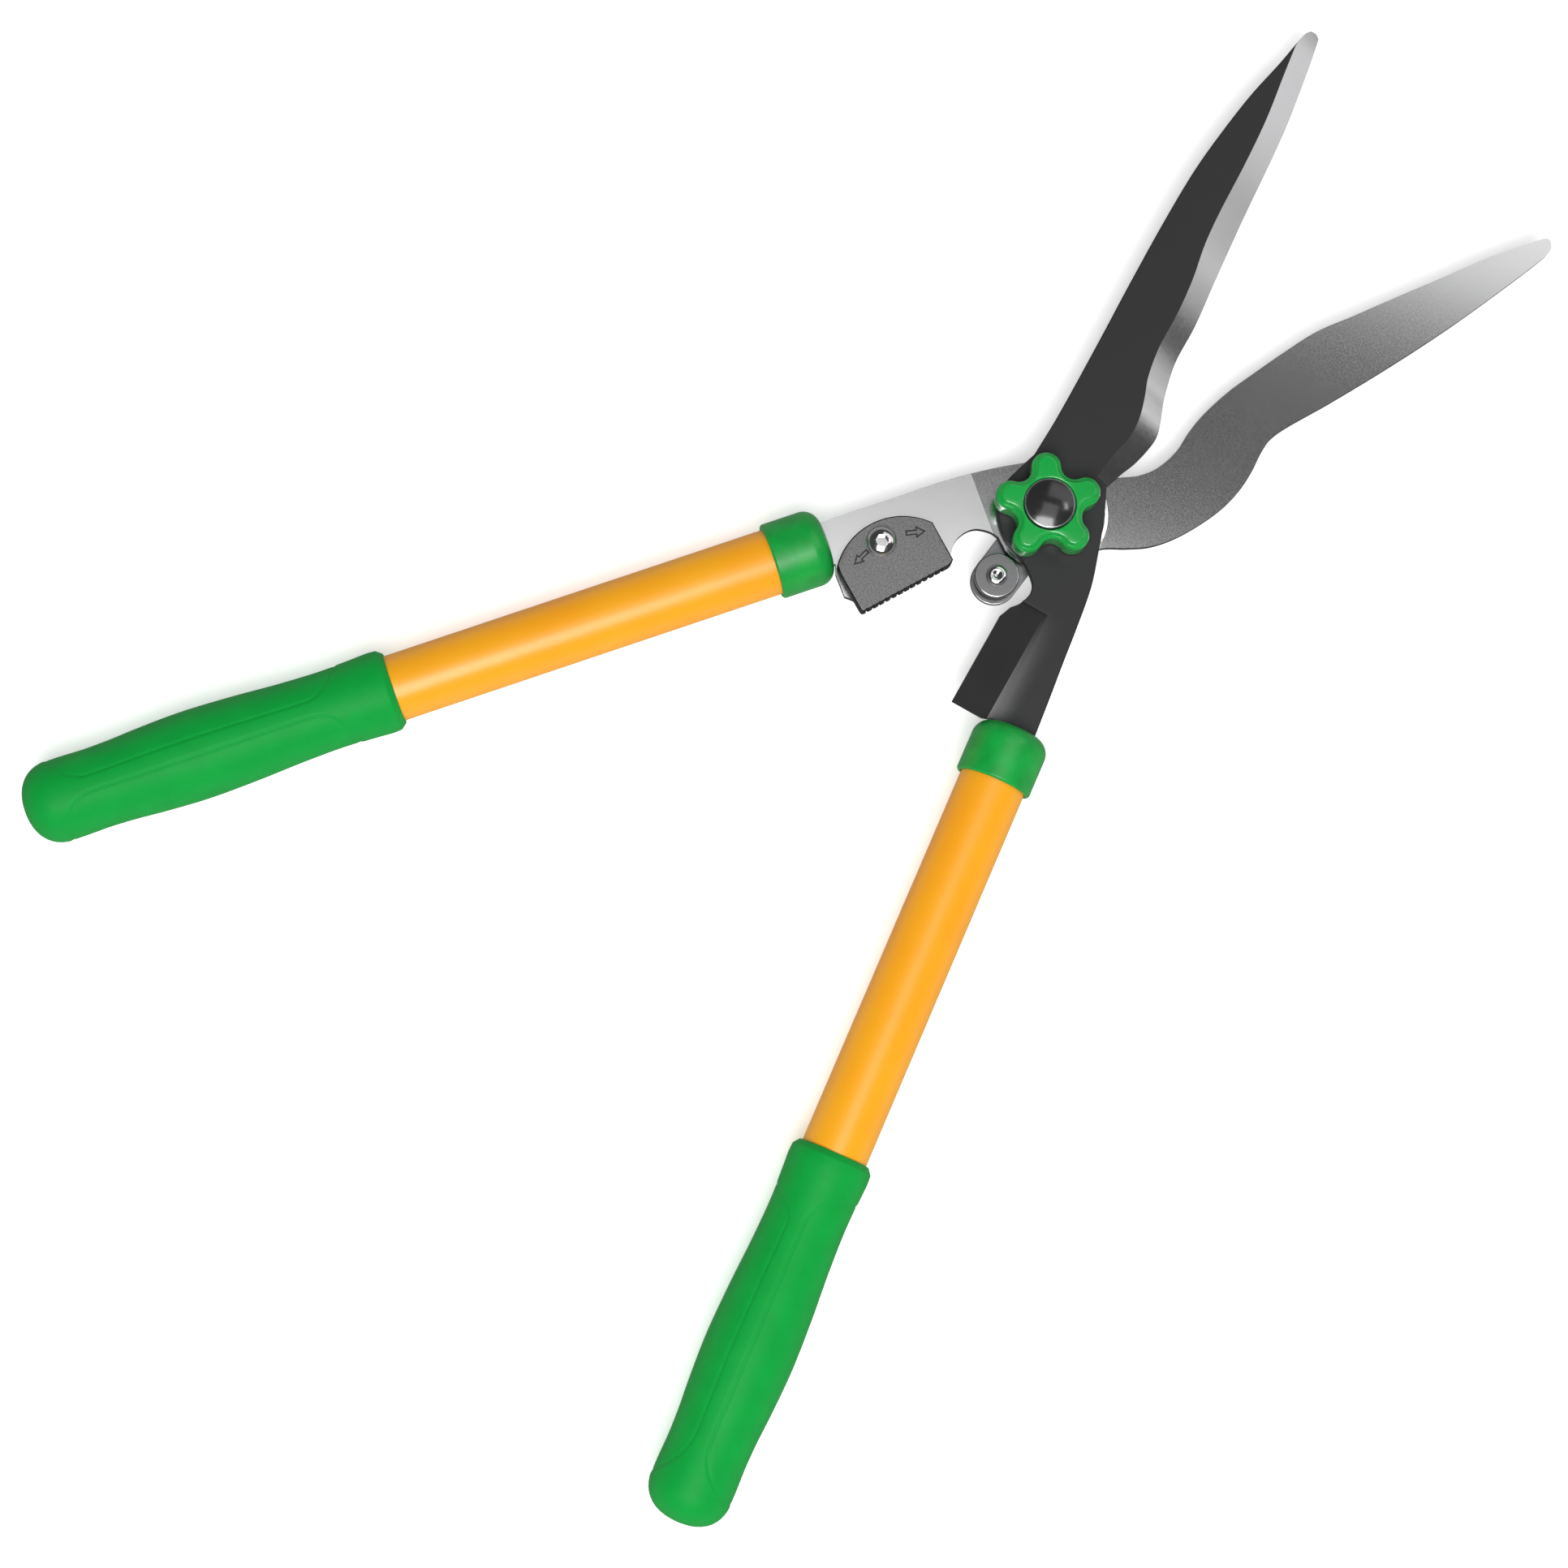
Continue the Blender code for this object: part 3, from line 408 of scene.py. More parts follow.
def arc(centre, radius, start, end, steps):
    """Points on an arc from the start angle to the end angle, in degrees."""
    points = []
    for i in range(steps + 1):
        angle = math.radians(start + (end - start) * i / steps)
        points.append((centre[0] + radius * math.cos(angle), centre[1] + radius * math.sin(angle)))
    return points


def circle(centre, radius, steps):
    return arc(centre, radius, 0.0, 360.0 * (steps - 1) / steps, steps - 1)


def lathe(profile, steps=96, kinds=0, closed=False):
    """A solid turned about local Z. The profile is (radius, height); a radius of 0 is a pole."""
    shell = Shell()
    rings = []
    for radius, height in profile:
        if radius == 0.0:
            rings.append(shell.ring([(0.0, 0.0, height)]))
        else:
            rings.append(shell.ring([(x, y, height) for x, y in circle((0.0, 0.0), radius, steps)]))
    pairs = list(zip(rings, rings[1:]))
    if closed:
        pairs.append((rings[-1], rings[0]))
    for n, (first, second) in enumerate(pairs):
        kind = kinds if isinstance(kinds, int) else kinds[n]
        if len(first) == 1 or len(second) == 1:
            ring, tip = (second, first[0]) if len(first) == 1 else (first, second[0])
            for i in range(len(ring)):
                shell.face((ring[i], ring[(i + 1) % len(ring)], tip), kind)
        else:
            shell.skin(first, second, kind)
    return shell


def shifted(matrix, place):
    """The matrix moved along its own X and Y, in millimetres."""
    return matrix @ Matrix.Translation((place[0] * MM, place[1] * MM, 0.0))


def drill(name, matrix, place, radius, low, high, steps):
    """A round cutter standing at the place."""
    profile = [(0.0, low), (radius, low), (radius, high), (0.0, high)]
    return solid(name, lathe(profile, steps), shifted(matrix, place))


def prism(outline, low, high, edge=0.0, kinds=(0, 0)):
    """A plate with its top and bottom edges rounded by edge. kinds are those of the sides and of the top."""
    shell = Shell()
    step = edge * 0.3
    inset = offset(outline, edge)
    half = offset(outline, step)
    heights = [(inset, low), (half, low + step), (outline, low + edge), (outline, high - edge),
               (half, high - step), (inset, high)]
    if edge == 0.0:
        heights = [(outline, low), (outline, high)]
    rings = [shell.ring([(x, y, z) for x, y in points]) for points, z in heights]
    shell.loft(rings, kinds[0])
    shell.caps(rings, kinds[0], kinds[1])
    return shell


def offset(outline, distance):
    """The closed outline moved inward by distance."""
    count = len(outline)
    area = sum(outline[i][0] * outline[(i + 1) % count][1] - outline[(i + 1) % count][0] * outline[i][1]
               for i in range(count))
    turn = 1.0 if area > 0 else -1.0
    moved = []
    for i, (x, y) in enumerate(outline):
        before = (Vector((x, y)) - Vector(outline[i - 1])).normalized()
        after = (Vector(outline[(i + 1) % count]) - Vector((x, y))).normalized()
        normals = [Vector((-side.y, side.x)) * turn for side in (before, after)]
        both = (normals[0] + normals[1])
        scale = 1.0 / max(1.0 + normals[0].dot(normals[1]), 0.5)
        moved.append((x + both.x * distance * scale, y + both.y * distance * scale))
    return moved


def smooth_curve(stations, values, places):
    """A smooth curve through (station, value) pairs, read at the places."""
    stations = np.asarray(stations, float)
    values = np.asarray(values, float)
    slopes = np.gradient(values, stations)
    index = np.clip(np.searchsorted(stations, places) - 1, 0, len(stations) - 2)
    width = stations[index + 1] - stations[index]
    t = (places - stations[index]) / width
    a = (1 + 2 * t) * (1 - t) ** 2 * values[index]
    b = t * (1 - t) ** 2 * width * slopes[index]
    c = t * t * (3 - 2 * t) * values[index + 1]
    d = t * t * (t - 1) * width * slopes[index + 1]
    return a + b + c + d


# ---- blades

UPPER_HANDLE = ((30.0, -93.4), (57.3, -355.5))
LOWER_HANDLE = ((-31.3, -92.6), (-76.4, -352.2))
UPPER_TANG = (-8.2, 7.1)
LOWER_TANG = (-7.5, 8.2)
TANG_END = 14.0
CUTTER_X = 3.8
CUTTER_TOP_Y = -32.3
CUTTER_BOTTOM_Y = -75.1
CURVE_STEPS = 6
PAD_RADIUS = 21.8
PIVOT_HOLE = 5.3
SCREW_HOLE = 3.3
RIVET_HOLE = 1.9
TANG_GRIND_Y = -19.8
TANG_GRIND_SLOPE = 0.168


def handle_axis(handle):
    start = Vector(handle[0])
    along = (Vector(handle[1]) - start).normalized()
    side = Vector((-along.y, along.x))
    return start, along, side


def on_handle(handle, station, sideways):
    start, along, side = handle_axis(handle)
    return tuple(start + along * station + side * sideways)


# Each outline runs clockwise, in stretches that meet at corners. A point is x and y, and the ground width too
# where the edge is ground.
UPPER_STRETCHES = [
    # cutting edge, from the tip back to the boss
    [(2.0, 202.5), (4.1, 190.6), (7.6, 164.8), (10.1, 128.7), (12.1, 104.4), (13.8, 86.0), (14.1, 70.3),
     (17.0, 57.0), (20.3, 47.6), (21.2, 42.0), (19.2, 32.0), (16.6, 25.4)],
    # boss and the outer side of the tang
    [(14.2, 18.6), (17.4, 11.6), (20.2, 4.7), (22.6, -2.5), (26.7, -15.6), (29.2, -30.4), (31.0, -43.7),
     (33.0, -57.5)],
    # tang inside the handle
    [on_handle(UPPER_HANDLE, -21.5, UPPER_TANG[1])],
    [on_handle(UPPER_HANDLE, TANG_END, UPPER_TANG[1])],
    [on_handle(UPPER_HANDLE, TANG_END, UPPER_TANG[0])],
    [on_handle(UPPER_HANDLE, -20.8, UPPER_TANG[0])],
    # branch cutter, then the wavy run-out above it
    [(15.6, CUTTER_BOTTOM_Y)],
    [(CUTTER_X, CUTTER_BOTTOM_Y)],
    [(CUTTER_X, -40.2), (4.6, -38.3), (5.6, -35.8), (7.4, -33.6)],
    # recess for the bumper, boss and spine
    [(8.7, -31.2), (9.2, -28.5), (8.7, -25.8), (6.9, -23.6), (3.5, -20.9), (-1.3, -18.2), (-6.4, -16.2),
     (-9.9, -13.9), (-13.1, -10.7), (-15.6, -6.8), (-17.1, -2.0), (-17.2, 2.6), (-15.8, 8.4)],
    [(-13.4, 16.0), (-12.9, 32.0), (-13.2, 60.0), (-13.9, 90.0), (-14.1, 116.0), (-13.6, 136.0),
     (-11.9, 153.0), (-9.4, 170.3), (-6.0, 186.0), (-3.2, 200.6)],
    [(-1.8, 203.0), (0.2, 203.4)],
]

# Where the upper blade's ground bevel starts on its face, and the cutting edge beside it, from past the tip
# to the heel.
BEVEL = [
    ((-5.0, 206.5), (1.3, 206.4)), ((-4.7, 202.1), (2.1, 202.2)), ((-4.3, 198.6), (2.8, 198.2)),
    ((-3.9, 193.5), (3.7, 193.2)), ((-2.5, 182.3), (5.3, 181.6)), ((-0.3, 165.7), (7.5, 165.0)),
    ((0.9, 147.7), (8.9, 147.4)), ((1.5, 127.8), (10.2, 127.4)), ((2.5, 114.0), (11.3, 113.6)),
    ((4.9, 99.8), (12.5, 99.8)), ((6.1, 86.1), (13.8, 86.0)), ((6.3, 72.3), (14.0, 71.5)),
    ((8.0, 60.9), (16.0, 59.6)), ((10.3, 54.1), (18.2, 52.8)), ((12.2, 47.4), (20.4, 47.0)),
    ((12.9, 41.5), (21.2, 41.5)), ((12.6, 36.6), (20.5, 36.8)), ((11.3, 31.4), (19.0, 31.4)),
    ((10.2, 25.4), (16.6, 25.2)), ((9.7, 19.9), (14.4, 18.8)),
]

LOWER_STRETCHES = [
    # spine, from the tip back to the boss
    [(1.6, 208.8), (3.1, 207.7), (4.3, 204.8), (6.6, 190.5), (10.2, 162.5), (12.4, 135.7), (13.6, 109.8),
     (13.9, 91.0), (14.9, 84.0), (17.6, 78.4), (22.0, 71.9), (25.8, 64.6), (28.4, 55.9), (29.6, 45.4),
     (29.5, 35.0), (27.8, 26.4), (24.4, 19.0), (20.6, 12.0)],
    # boss, hidden by the upper half
    [(19.2, 5.6), (19.7, -3.4), (15.4, -12.8), (7.6, -18.4)],
    # notch that receives the bumper
    [(-0.8, -18.8), (-3.1, -19.8), (-5.4, -21.9), (-7.1, -24.4), (-7.7, -27.4), (-7.2, -31.0),
     (-5.8, -33.6)],
    # tang under the anvil
    [(-2.7, -37.0)],
    [(-4.0, -73.0)],
    [(-8.0, -76.3)],
    [(-16.4, -75.1)],
    # tang inside the handle
    [on_handle(LOWER_HANDLE, -20.9, LOWER_TANG[1])],
    [on_handle(LOWER_HANDLE, TANG_END, LOWER_TANG[1])],
    [on_handle(LOWER_HANDLE, TANG_END, LOWER_TANG[0])],
    # outer side of the tang and boss
    [on_handle(LOWER_HANDLE, -21.5, LOWER_TANG[0]), (-33.9, -62.7), (-31.9, -51.2), (-29.9, -39.7),
     (-28.8, -32.8), (-26.3, -20.4), (-23.1, -8.1), (-19.8, 2.0), (-17.6, 8.0), (-13.2, 15.0), (-7.0, 21.0)],
    # cutting edge, ground on the hidden back face
    [(-0.6, 25.8), (1.4, 30.2, 3.0), (3.9, 36.3, 7.0), (4.6, 43.5, 8.0), (2.6, 52.1, 8.0), (-1.2, 59.3, 8.0),
     (-4.4, 67.4, 8.0), (-7.3, 79.3, 8.0), (-8.7, 90.0, 8.0), (-10.2, 103.6, 8.0), (-11.2, 118.0, 8.0),
     (-9.9, 132.3, 8.0), (-8.6, 148.0, 8.0), (-6.8, 167.6, 8.0), (-5.4, 184.7, 8.0), (-3.1, 200.0, 5.0)],
    [(-1.4, 208.2), (-0.3, 209.1)],
]


def smooth_stretch(points):
    """Points on a smooth curve through a stretch of outline, with the ground width carried along."""
    points = [Vector((*point, 0.0)[:3]) for point in points]
    result = []
    for i in range(len(points) - 1):
        before = points[max(i - 1, 0)]
        here, there = points[i], points[i + 1]
        after = points[min(i + 2, len(points) - 1)]
        length = (there.xy - here.xy).length
        leave = (there - before) * length / max((there.xy - before.xy).length, length) / 3
        arrive = (after - here) * length / max((after.xy - here.xy).length, length) / 3
        result.extend(interpolate_bezier(here, here + leave, there - arrive, there, CURVE_STEPS + 1)[:-1])
    return result


def blade_outline(stretches):
    points = []
    for i, stretch in enumerate(stretches):
        corner = stretches[(i + 1) % len(stretches)][0]
        points.extend(smooth_stretch([*stretch, corner]))
    return points


def blade_shell(outline, edge_face, other_face):
    """A plate with rounded edges, ground to a cutting edge where the outline has a ground width.

    Kinds: 0 sides, 1 ground bevel, 2 rounding at the cutting edge's face, 3 that face, 4 the other face."""
    shell = Shell()
    up = 1.0 if other_face > edge_face else -1.0
    thick = abs(other_face - edge_face)
    # the inset and rise of each ring on a plain edge, and on a ground edge, where None is the ground width
    plans = [((0.25, 0.0), (0.0, 0.0)), ((0.0, 0.25), (0.0, 0.3)), ((0.0, thick - 0.35), (0.7, 0.6)),
             ((0.1, thick - 0.1), (0.75, 0.62)), ((0.35, thick), (None, thick))]
    rings = []
    count = len(outline)
    for plain, ground in plans:
        loop = []
        for i, point in enumerate(outline):
            along = outline[(i + 1) % count].xy - outline[i - 1].xy
            inward = Vector((along.y, -along.x)).normalized()
            share = min(point.z / 2.5, 1.0)
            width = point.z if ground[0] is None else ground[0]
            inset = plain[0] * (1.0 - share) + width * share
            rise = plain[1] * (1.0 - share) + ground[1] * share
            place = point.xy + inward * inset
            loop.append((place.x, place.y, edge_face + up * rise))
        rings.append(shell.ring(loop))
    bevel = [int(min(outline[i].z, outline[(i + 1) % count].z) > 0.4) for i in range(count)]
    shell.skin(rings[0], rings[1], 2)
    shell.loft(rings[1:], bevel)
    shell.caps(rings, 3, 4)
    return shell


def bevel_cutter():
    """What is ground off the upper blade's cutting edge: a wedge that follows the edge, from past the tip."""
    land = 0.3
    steps = 6
    inward = 1.0
    outward = 3.0
    above = UPPER_TOP + 3.0
    last = len(BEVEL) - 1
    stations = list(range(last + 1))
    places = np.linspace(0, last, last * steps + 1)
    columns = zip(*[(*ridge, *edge) for ridge, edge in BEVEL])
    shell = Shell()
    rings = []
    for rx, ry, ex, ey in zip(*[smooth_curve(stations, column, places) for column in columns]):
        ridge, edge = Vector((rx, ry)), Vector((ex, ey))
        across = (edge - ridge).normalized()
        slope = (UPPER_TOP - UPPER_LOW - land) / (edge - ridge).length
        inner = ridge - across * inward
        outer = edge + across * outward
        inner_low = UPPER_TOP + slope * inward
        outer_low = UPPER_LOW + land - slope * outward
        rings.append(shell.ring([(*inner, inner_low), (*outer, outer_low), (*outer, above), (*inner, above)]))
    shell.loft(rings, 1)
    shell.caps(rings, 1, 1)
    return shell


def cutter_grind():
    """What is ground off the branch cutter: a flat that falls to its edge, and a ramp up to the tang."""
    shell = Shell()
    hollow_x = 17.3
    hollow_depth = 0.95
    edge_depth = 2.6
    outward = 3.0
    ramp_steps = 8
    slope = (edge_depth - hollow_depth) / (hollow_x - CUTTER_X)
    rings = []
    for y, ramp in ((CUTTER_TOP_Y, 1.3), (CUTTER_BOTTOM_Y - 3.0, 4.4)):
        section = [(hollow_x + ramp, -1.0)]
        for i in range(ramp_steps + 1):
            t = 1.0 - i / ramp_steps
            section.append((hollow_x + ramp * t, hollow_depth * (1.0 - t) ** 2))
        section.append((CUTTER_X - outward, edge_depth + slope * outward))
        section.append((CUTTER_X - outward, -1.0))
        rings.append(shell.ring([(x, y, UPPER_TOP - drop) for x, drop in section]))
    shell.loft(rings, [4] * (ramp_steps + 1) + [0] * 3)
    shell.caps(rings)
    return shell


def sector(profile, start, end, steps):
    """A profile of (radius, height) swept about local Z between two angles."""
    shell = Shell()
    rings = []
    for i in range(steps + 1):
        angle = math.radians(start + (end - start) * i / steps)
        rings.append(shell.ring([(r * math.cos(angle), r * math.sin(angle), z) for r, z in profile]))
    shell.loft(rings)
    shell.caps(rings)
    return shell


def make_upper_blade():
    # the top face takes the coat with the painted sheen beside the branch cutter
    materials = ("coat", "bevel", "coat", "coat", "coat_painted_sheen")
    shell = blade_shell(blade_outline(UPPER_STRETCHES), UPPER_LOW, UPPER_TOP)
    blade = solid("upper_blade_finished", shell, UPPER, materials)
    key = [*arc((0.0, 0.0), PIVOT_HOLE, -56.0, 56.0, 8), *arc((0.0, 0.0), PIVOT_HOLE, 124.0, 236.0, 8)]
    hole = solid("cut_a", prism(key, UPPER_LOW - 1.0, UPPER_TOP + 1.0), UPPER)
    grind = solid("cut_b", cutter_grind(), UPPER, materials)
    bevel = solid("cut_c", bevel_cutter(), UPPER, materials)
    carve(blade, [hole, grind, bevel])
    finish_piece(blade, "upper_half", ["upper_blade"], 14)


def make_lower_blade():
    shell = blade_shell(blade_outline(LOWER_STRETCHES), LOWER_TOP, LOWER_LOW)
    materials = ("side", "bevel", "edge", "steel", "back", "pad", "tang")
    blade = solid("lower_blade_finished", shell, LOWER, materials)
    top = LOWER_TOP
    step = [(21.0, top + 1.0), (21.0, top + 0.001), (21.4, top - 0.06), (22.2, top - 0.31),
            (22.6, top - 0.35), (240.0, top - 0.351), (240.0, top + 1.0)]
    blade_face = solid("cut_a", sector(step, -25.0, 150.0, 64), LOWER)
    behind = [(-40.0, -13.1), (20.0, -23.2), (20.0, -130.0), (-60.0, -130.0)]
    tang_face = solid("cut_b", prism(behind, top - 0.22, top + 1.0), LOWER)
    holes = [drill("cut_bush", LOWER, (0.0, 0.0), 6.7, LOWER_LOW - 1.0, top + 1.0, 48),
             drill("cut_washer", LOWER, (0.0, 0.0), 12.3, top - 0.9, top + 1.0, 48),
             drill("cut_screw", LOWER, SCREW_AT, SCREW_HOLE, LOWER_LOW - 1.0, top + 1.0, 48)]
    carve(blade, [blade_face, tang_face, *holes])
    to_half = LOWER.inverted()
    for face in blade.data.polygons:
        if face.normal.z < 0.8:
            continue
        place = (to_half @ face.center) / MM
        if place.z < top - 1.2:
            continue
        if place.y < TANG_GRIND_Y - place.x * TANG_GRIND_SLOPE:
            face.material_index = materials.index("tang")
        elif place.xy.length < PAD_RADIUS or place.y < 2.0:
            face.material_index = materials.index("pad")
        else:
            face.material_index = materials.index("steel")
    finish_piece(blade, "lower_half", ["lower_blade"], 14)


# ---- handles

TUBE_RADIUS = 11.75
TUBE_WALL = 1.1
TUBE_HIDDEN = 100.0
TUBE_SHOWN = 138.4
FERRULE_RADIUS = 13.55
FERRULE_LENGTH = 20.3
SHOULDER = 6.0
GRIP_END = 132.8
DOME_START = 120.0
DOME_POWER = 2.35
GRIP_STATIONS = [(5.4, 14.6), (14.0, 14.15), (22.0, 13.95), (36.0, 14.3), (55.0, 15.4), (73.0, 15.9),
                 (88.0, 15.3), (100.0, 14.5), (108.0, 14.3), (116.0, 14.5), (120.0, 14.5)]
GRIP_PANELS = (
    # the panels' turn about the handle, and each panel's start, its end and the lengths of its rounded ends
    (-14.0, ((13.5, 121.0, 11.5, 19.0), (17.0, 121.0, 11.5, 19.0))),
    (0.0, ((17.0, 121.0, 13.0, 14.0), (17.0, 121.0, 13.0, 14.0))),
)
BAND_HALF_ANGLE = math.radians(11.5)
PANEL_RADIUS = 14.5
PANEL_BLEND = 0.8
GROOVE_DEPTH = 0.34
GROOVE_WIDTH = 0.5
PANEL_SINK = 0.16


def handle_matrix(half, handle, height):
    """Local Z runs along the handle from the ferrule's rim, where the uncovered tube starts, and local Y
    points up.
    """
    start, along, side = handle_axis(handle)
    forward = Vector((along.x, along.y, 0.0))
    up = Vector((0.0, 0.0, 1.0))
    turn = Matrix((up.cross(forward), up, forward)).transposed().to_4x4()
    return half @ Matrix.Translation((start.x * MM, start.y * MM, height * MM)) @ turn


def grip_radius(station):
    """The grip's radius, by the distance from its front rim."""
    inner = [s for s, r in GRIP_STATIONS]
    outer = [r for s, r in GRIP_STATIONS]
    body = smooth_curve(inner, outer, np.clip(station, inner[0], inner[-1]))
    past = np.clip((station - DOME_START) / (GRIP_END - DOME_START), 0.0, 1.0)
    dome = outer[-1] * (1.0 - past ** DOME_POWER) ** (1 / DOME_POWER)
    return np.where(station > DOME_START, dome, body)


def panel_distance(station, angle, roll, ends):
    """Distance in mm to the edge of the nearer side panel, negative inside it."""
    best = None
    for side, (start, end, lead, tail) in zip((1.0, -1.0), ends):
        away = np.abs((angle - roll - side * math.pi / 2 + math.pi) % (2 * math.pi) - math.pi)
        half = math.pi / 2 - BAND_HALF_ANGLE
        front = np.clip((start + lead - station) / lead, 0.0, None)
        back = np.clip((station - end + tail) / tail, 0.0, None)
        length = np.where(back > 0.0, tail, lead)
        along = np.maximum(front, back)
        around = away / half
        reach = np.sqrt(along * along + around * around)
        rate = np.sqrt((along / length) ** 2 + (around / (half * PANEL_RADIUS)) ** 2)
        slope = rate / np.maximum(reach, 1e-6)
        distance = (reach - 1.0) / np.maximum(slope, 1e-6)
        best = distance if best is None else np.minimum(best, distance)
    return best


def grip_surface(points, roll, ends):
    """Moves points near the grip onto its surface, with the grooves round its side panels."""
    station = points[:, 2] - TUBE_SHOWN
    angle = np.arctan2(points[:, 0], points[:, 1])
    distance = panel_distance(station, angle, roll, ends)
    inside = np.clip(-distance / PANEL_BLEND, 0.0, 1.0)
    groove = GROOVE_DEPTH * np.exp(-(distance / GROOVE_WIDTH) ** 2)
    radius = grip_radius(station) - groove - PANEL_SINK * inside * inside * (3 - 2 * inside)
    return np.stack([radius * np.sin(angle), radius * np.cos(angle), points[:, 2]], 1), distance


def make_grip(side, matrix, turn, ends):
    """A moulded grip: rim, body refined along the grooves, and a domed end."""
    steps = 72
    dome_steps = 12
    dome_depth = GRIP_END - 119.5
    roll = math.radians(turn)
    stations = [6.0 + 1.9 * i for i in range(60)]
    for i in range(1, dome_steps):
        stations.append(GRIP_END - dome_depth * (1.0 - math.sin(math.pi / 2 * i / dome_steps)))
    shell = Shell()
    rings = []
    for station in stations:
        radius = float(grip_radius(np.array([station]))[0])
        ring = [(radius * math.sin(a), radius * math.cos(a), TUBE_SHOWN + station)
                for a in (2 * math.pi * i / steps for i in range(steps))]
        rings.append(shell.ring(ring))
    shell.loft(rings)
    mesh = shell.mesh("grip_body", Matrix.Identity(4))
    work = bmesh.new()
    work.from_mesh(mesh)
    bpy.data.meshes.remove(mesh)
    for reach in (2.4, 1.5):
        work.edges.ensure_lookup_table()
        middles = np.array([(edge.verts[0].co + edge.verts[1].co) / 2 for edge in work.edges]) / MM
        distance = grip_surface(middles, roll, ends)[1]
        near = [edge for edge, d in zip(work.edges, distance) if abs(d) < reach]
        bmesh.ops.subdivide_edges(work, edges=near, cuts=1, use_grid_fill=True)
    work.verts.ensure_lookup_table()
    points = np.array([vert.co for vert in work.verts]) / MM
    moved = grip_surface(points, roll, ends)[0]
    for vert, place in zip(work.verts, moved):
        vert.co = Vector(place) * MM
    borders = [edge for edge in work.edges if edge.is_boundary]
    low = TUBE_SHOWN + stations[0]
    front = [edge for edge in borders if edge.verts[0].co.z / MM < low + 1.0]
    back = [edge for edge in borders if edge.verts[0].co.z / MM > low + 1.0]
    rim = [(14.58, 4.9), (14.42, 2.3), (14.2, 1.95), (12.9, 0.28), (12.6, 0.05), (12.35, 0.0), (12.15, 0.12),
           (12.05, 0.4), (12.05, 101.0)]
    for radius, station in rim:
        front = extrude_ring(work, front, radius, TUBE_SHOWN + station)
    bmesh.ops.contextual_create(work, geom=front)
    bmesh.ops.contextual_create(work, geom=back)
    bmesh.ops.triangulate(work, faces=[face for face in work.faces if len(face.verts) > 4])
    bmesh.ops.recalc_face_normals(work, faces=work.faces)
    mesh = bpy.data.meshes.new(side + "_grip_finished")
    work.to_mesh(mesh)
    work.free()
    mesh.transform(matrix)
    mesh.materials.append(MATERIALS["grip"])
    finish_piece(add_object(mesh.name, mesh), side + "_half", [side + "_grip"], 40)


def extrude_ring(work, edges, radius, height):
    """Extends an open round border to a new radius and height, in millimetres. Returns the new border."""
    grown = bmesh.ops.extrude_edge_only(work, edges=edges)["geom"]
    for vert in (item for item in grown if isinstance(item, bmesh.types.BMVert)):
        flat = vert.co.xy.normalized() * radius * MM
        vert.co = (flat.x, flat.y, height * MM)
    return [item for item in grown if isinstance(item, bmesh.types.BMEdge)]


def make_ferrule(side, matrix, tang):
    """A cup over the tube's end with a slot in its floor for the tang."""
    shoulder = arc((FERRULE_RADIUS - SHOULDER, SHOULDER - FERRULE_LENGTH), SHOULDER, 0.0, -90.0, 14)
    bore = TUBE_RADIUS + GAP
    floor = 14.3
    slot_half = 2.05
    profile = [(bore, 0.0), (FERRULE_RADIUS - 0.9, 0.0), (FERRULE_RADIUS - 0.5, -0.12),
               (FERRULE_RADIUS - 0.12, -0.5), (FERRULE_RADIUS, -0.9), *shoulder, (0.0, -FERRULE_LENGTH),
               (0.0, -floor), (bore, -floor)]
    ferrule = solid(side + "_ferrule_finished", lathe(profile), matrix, ("ferrule",))
    weld = bmesh.new()
    weld.from_mesh(ferrule.data)
    holes = [edge for edge in weld.edges if edge.is_boundary]
    bmesh.ops.bridge_loops(weld, edges=holes)
    bmesh.ops.recalc_face_normals(weld, faces=weld.faces)
    weld.to_mesh(ferrule.data)
    weld.free()
    left, right = tang[0] - GAP, tang[1] + GAP
    slot = [(left, -slot_half), (right, -slot_half), (right, slot_half), (left, slot_half)]
    carve(ferrule, [solid("cut_slot", prism(slot, -FERRULE_LENGTH - 2.0, -floor + 2.0), matrix)])
    finish_piece(ferrule, side + "_half", [side + "_ferrule"], 30)


def make_tube(side, matrix):
    inner = TUBE_RADIUS - TUBE_WALL
    end = TUBE_SHOWN + TUBE_HIDDEN
    profile = [(inner, -14.0), (TUBE_RADIUS - 0.2, -14.0), (TUBE_RADIUS, -13.8)]
    profile += [(TUBE_RADIUS, -13.8 + (end + 13.6) * (i + 1) / 12) for i in range(12)]
    profile += [(TUBE_RADIUS - 0.2, end), (inner, end)]
    tube = solid(side + "_tube_finished", lathe(profile, closed=True), matrix, ("orange",))
    finish_piece(tube, side + "_half", [side + "_tube"], 30)


# ---- knob

LOBES = 5
LOBE_TIP = 18.9
LOBE_RADIUS = 5.2
VALLEY = 12.0
LOBE_PHASE = -5.7
CAP_RADIUS = 8.9


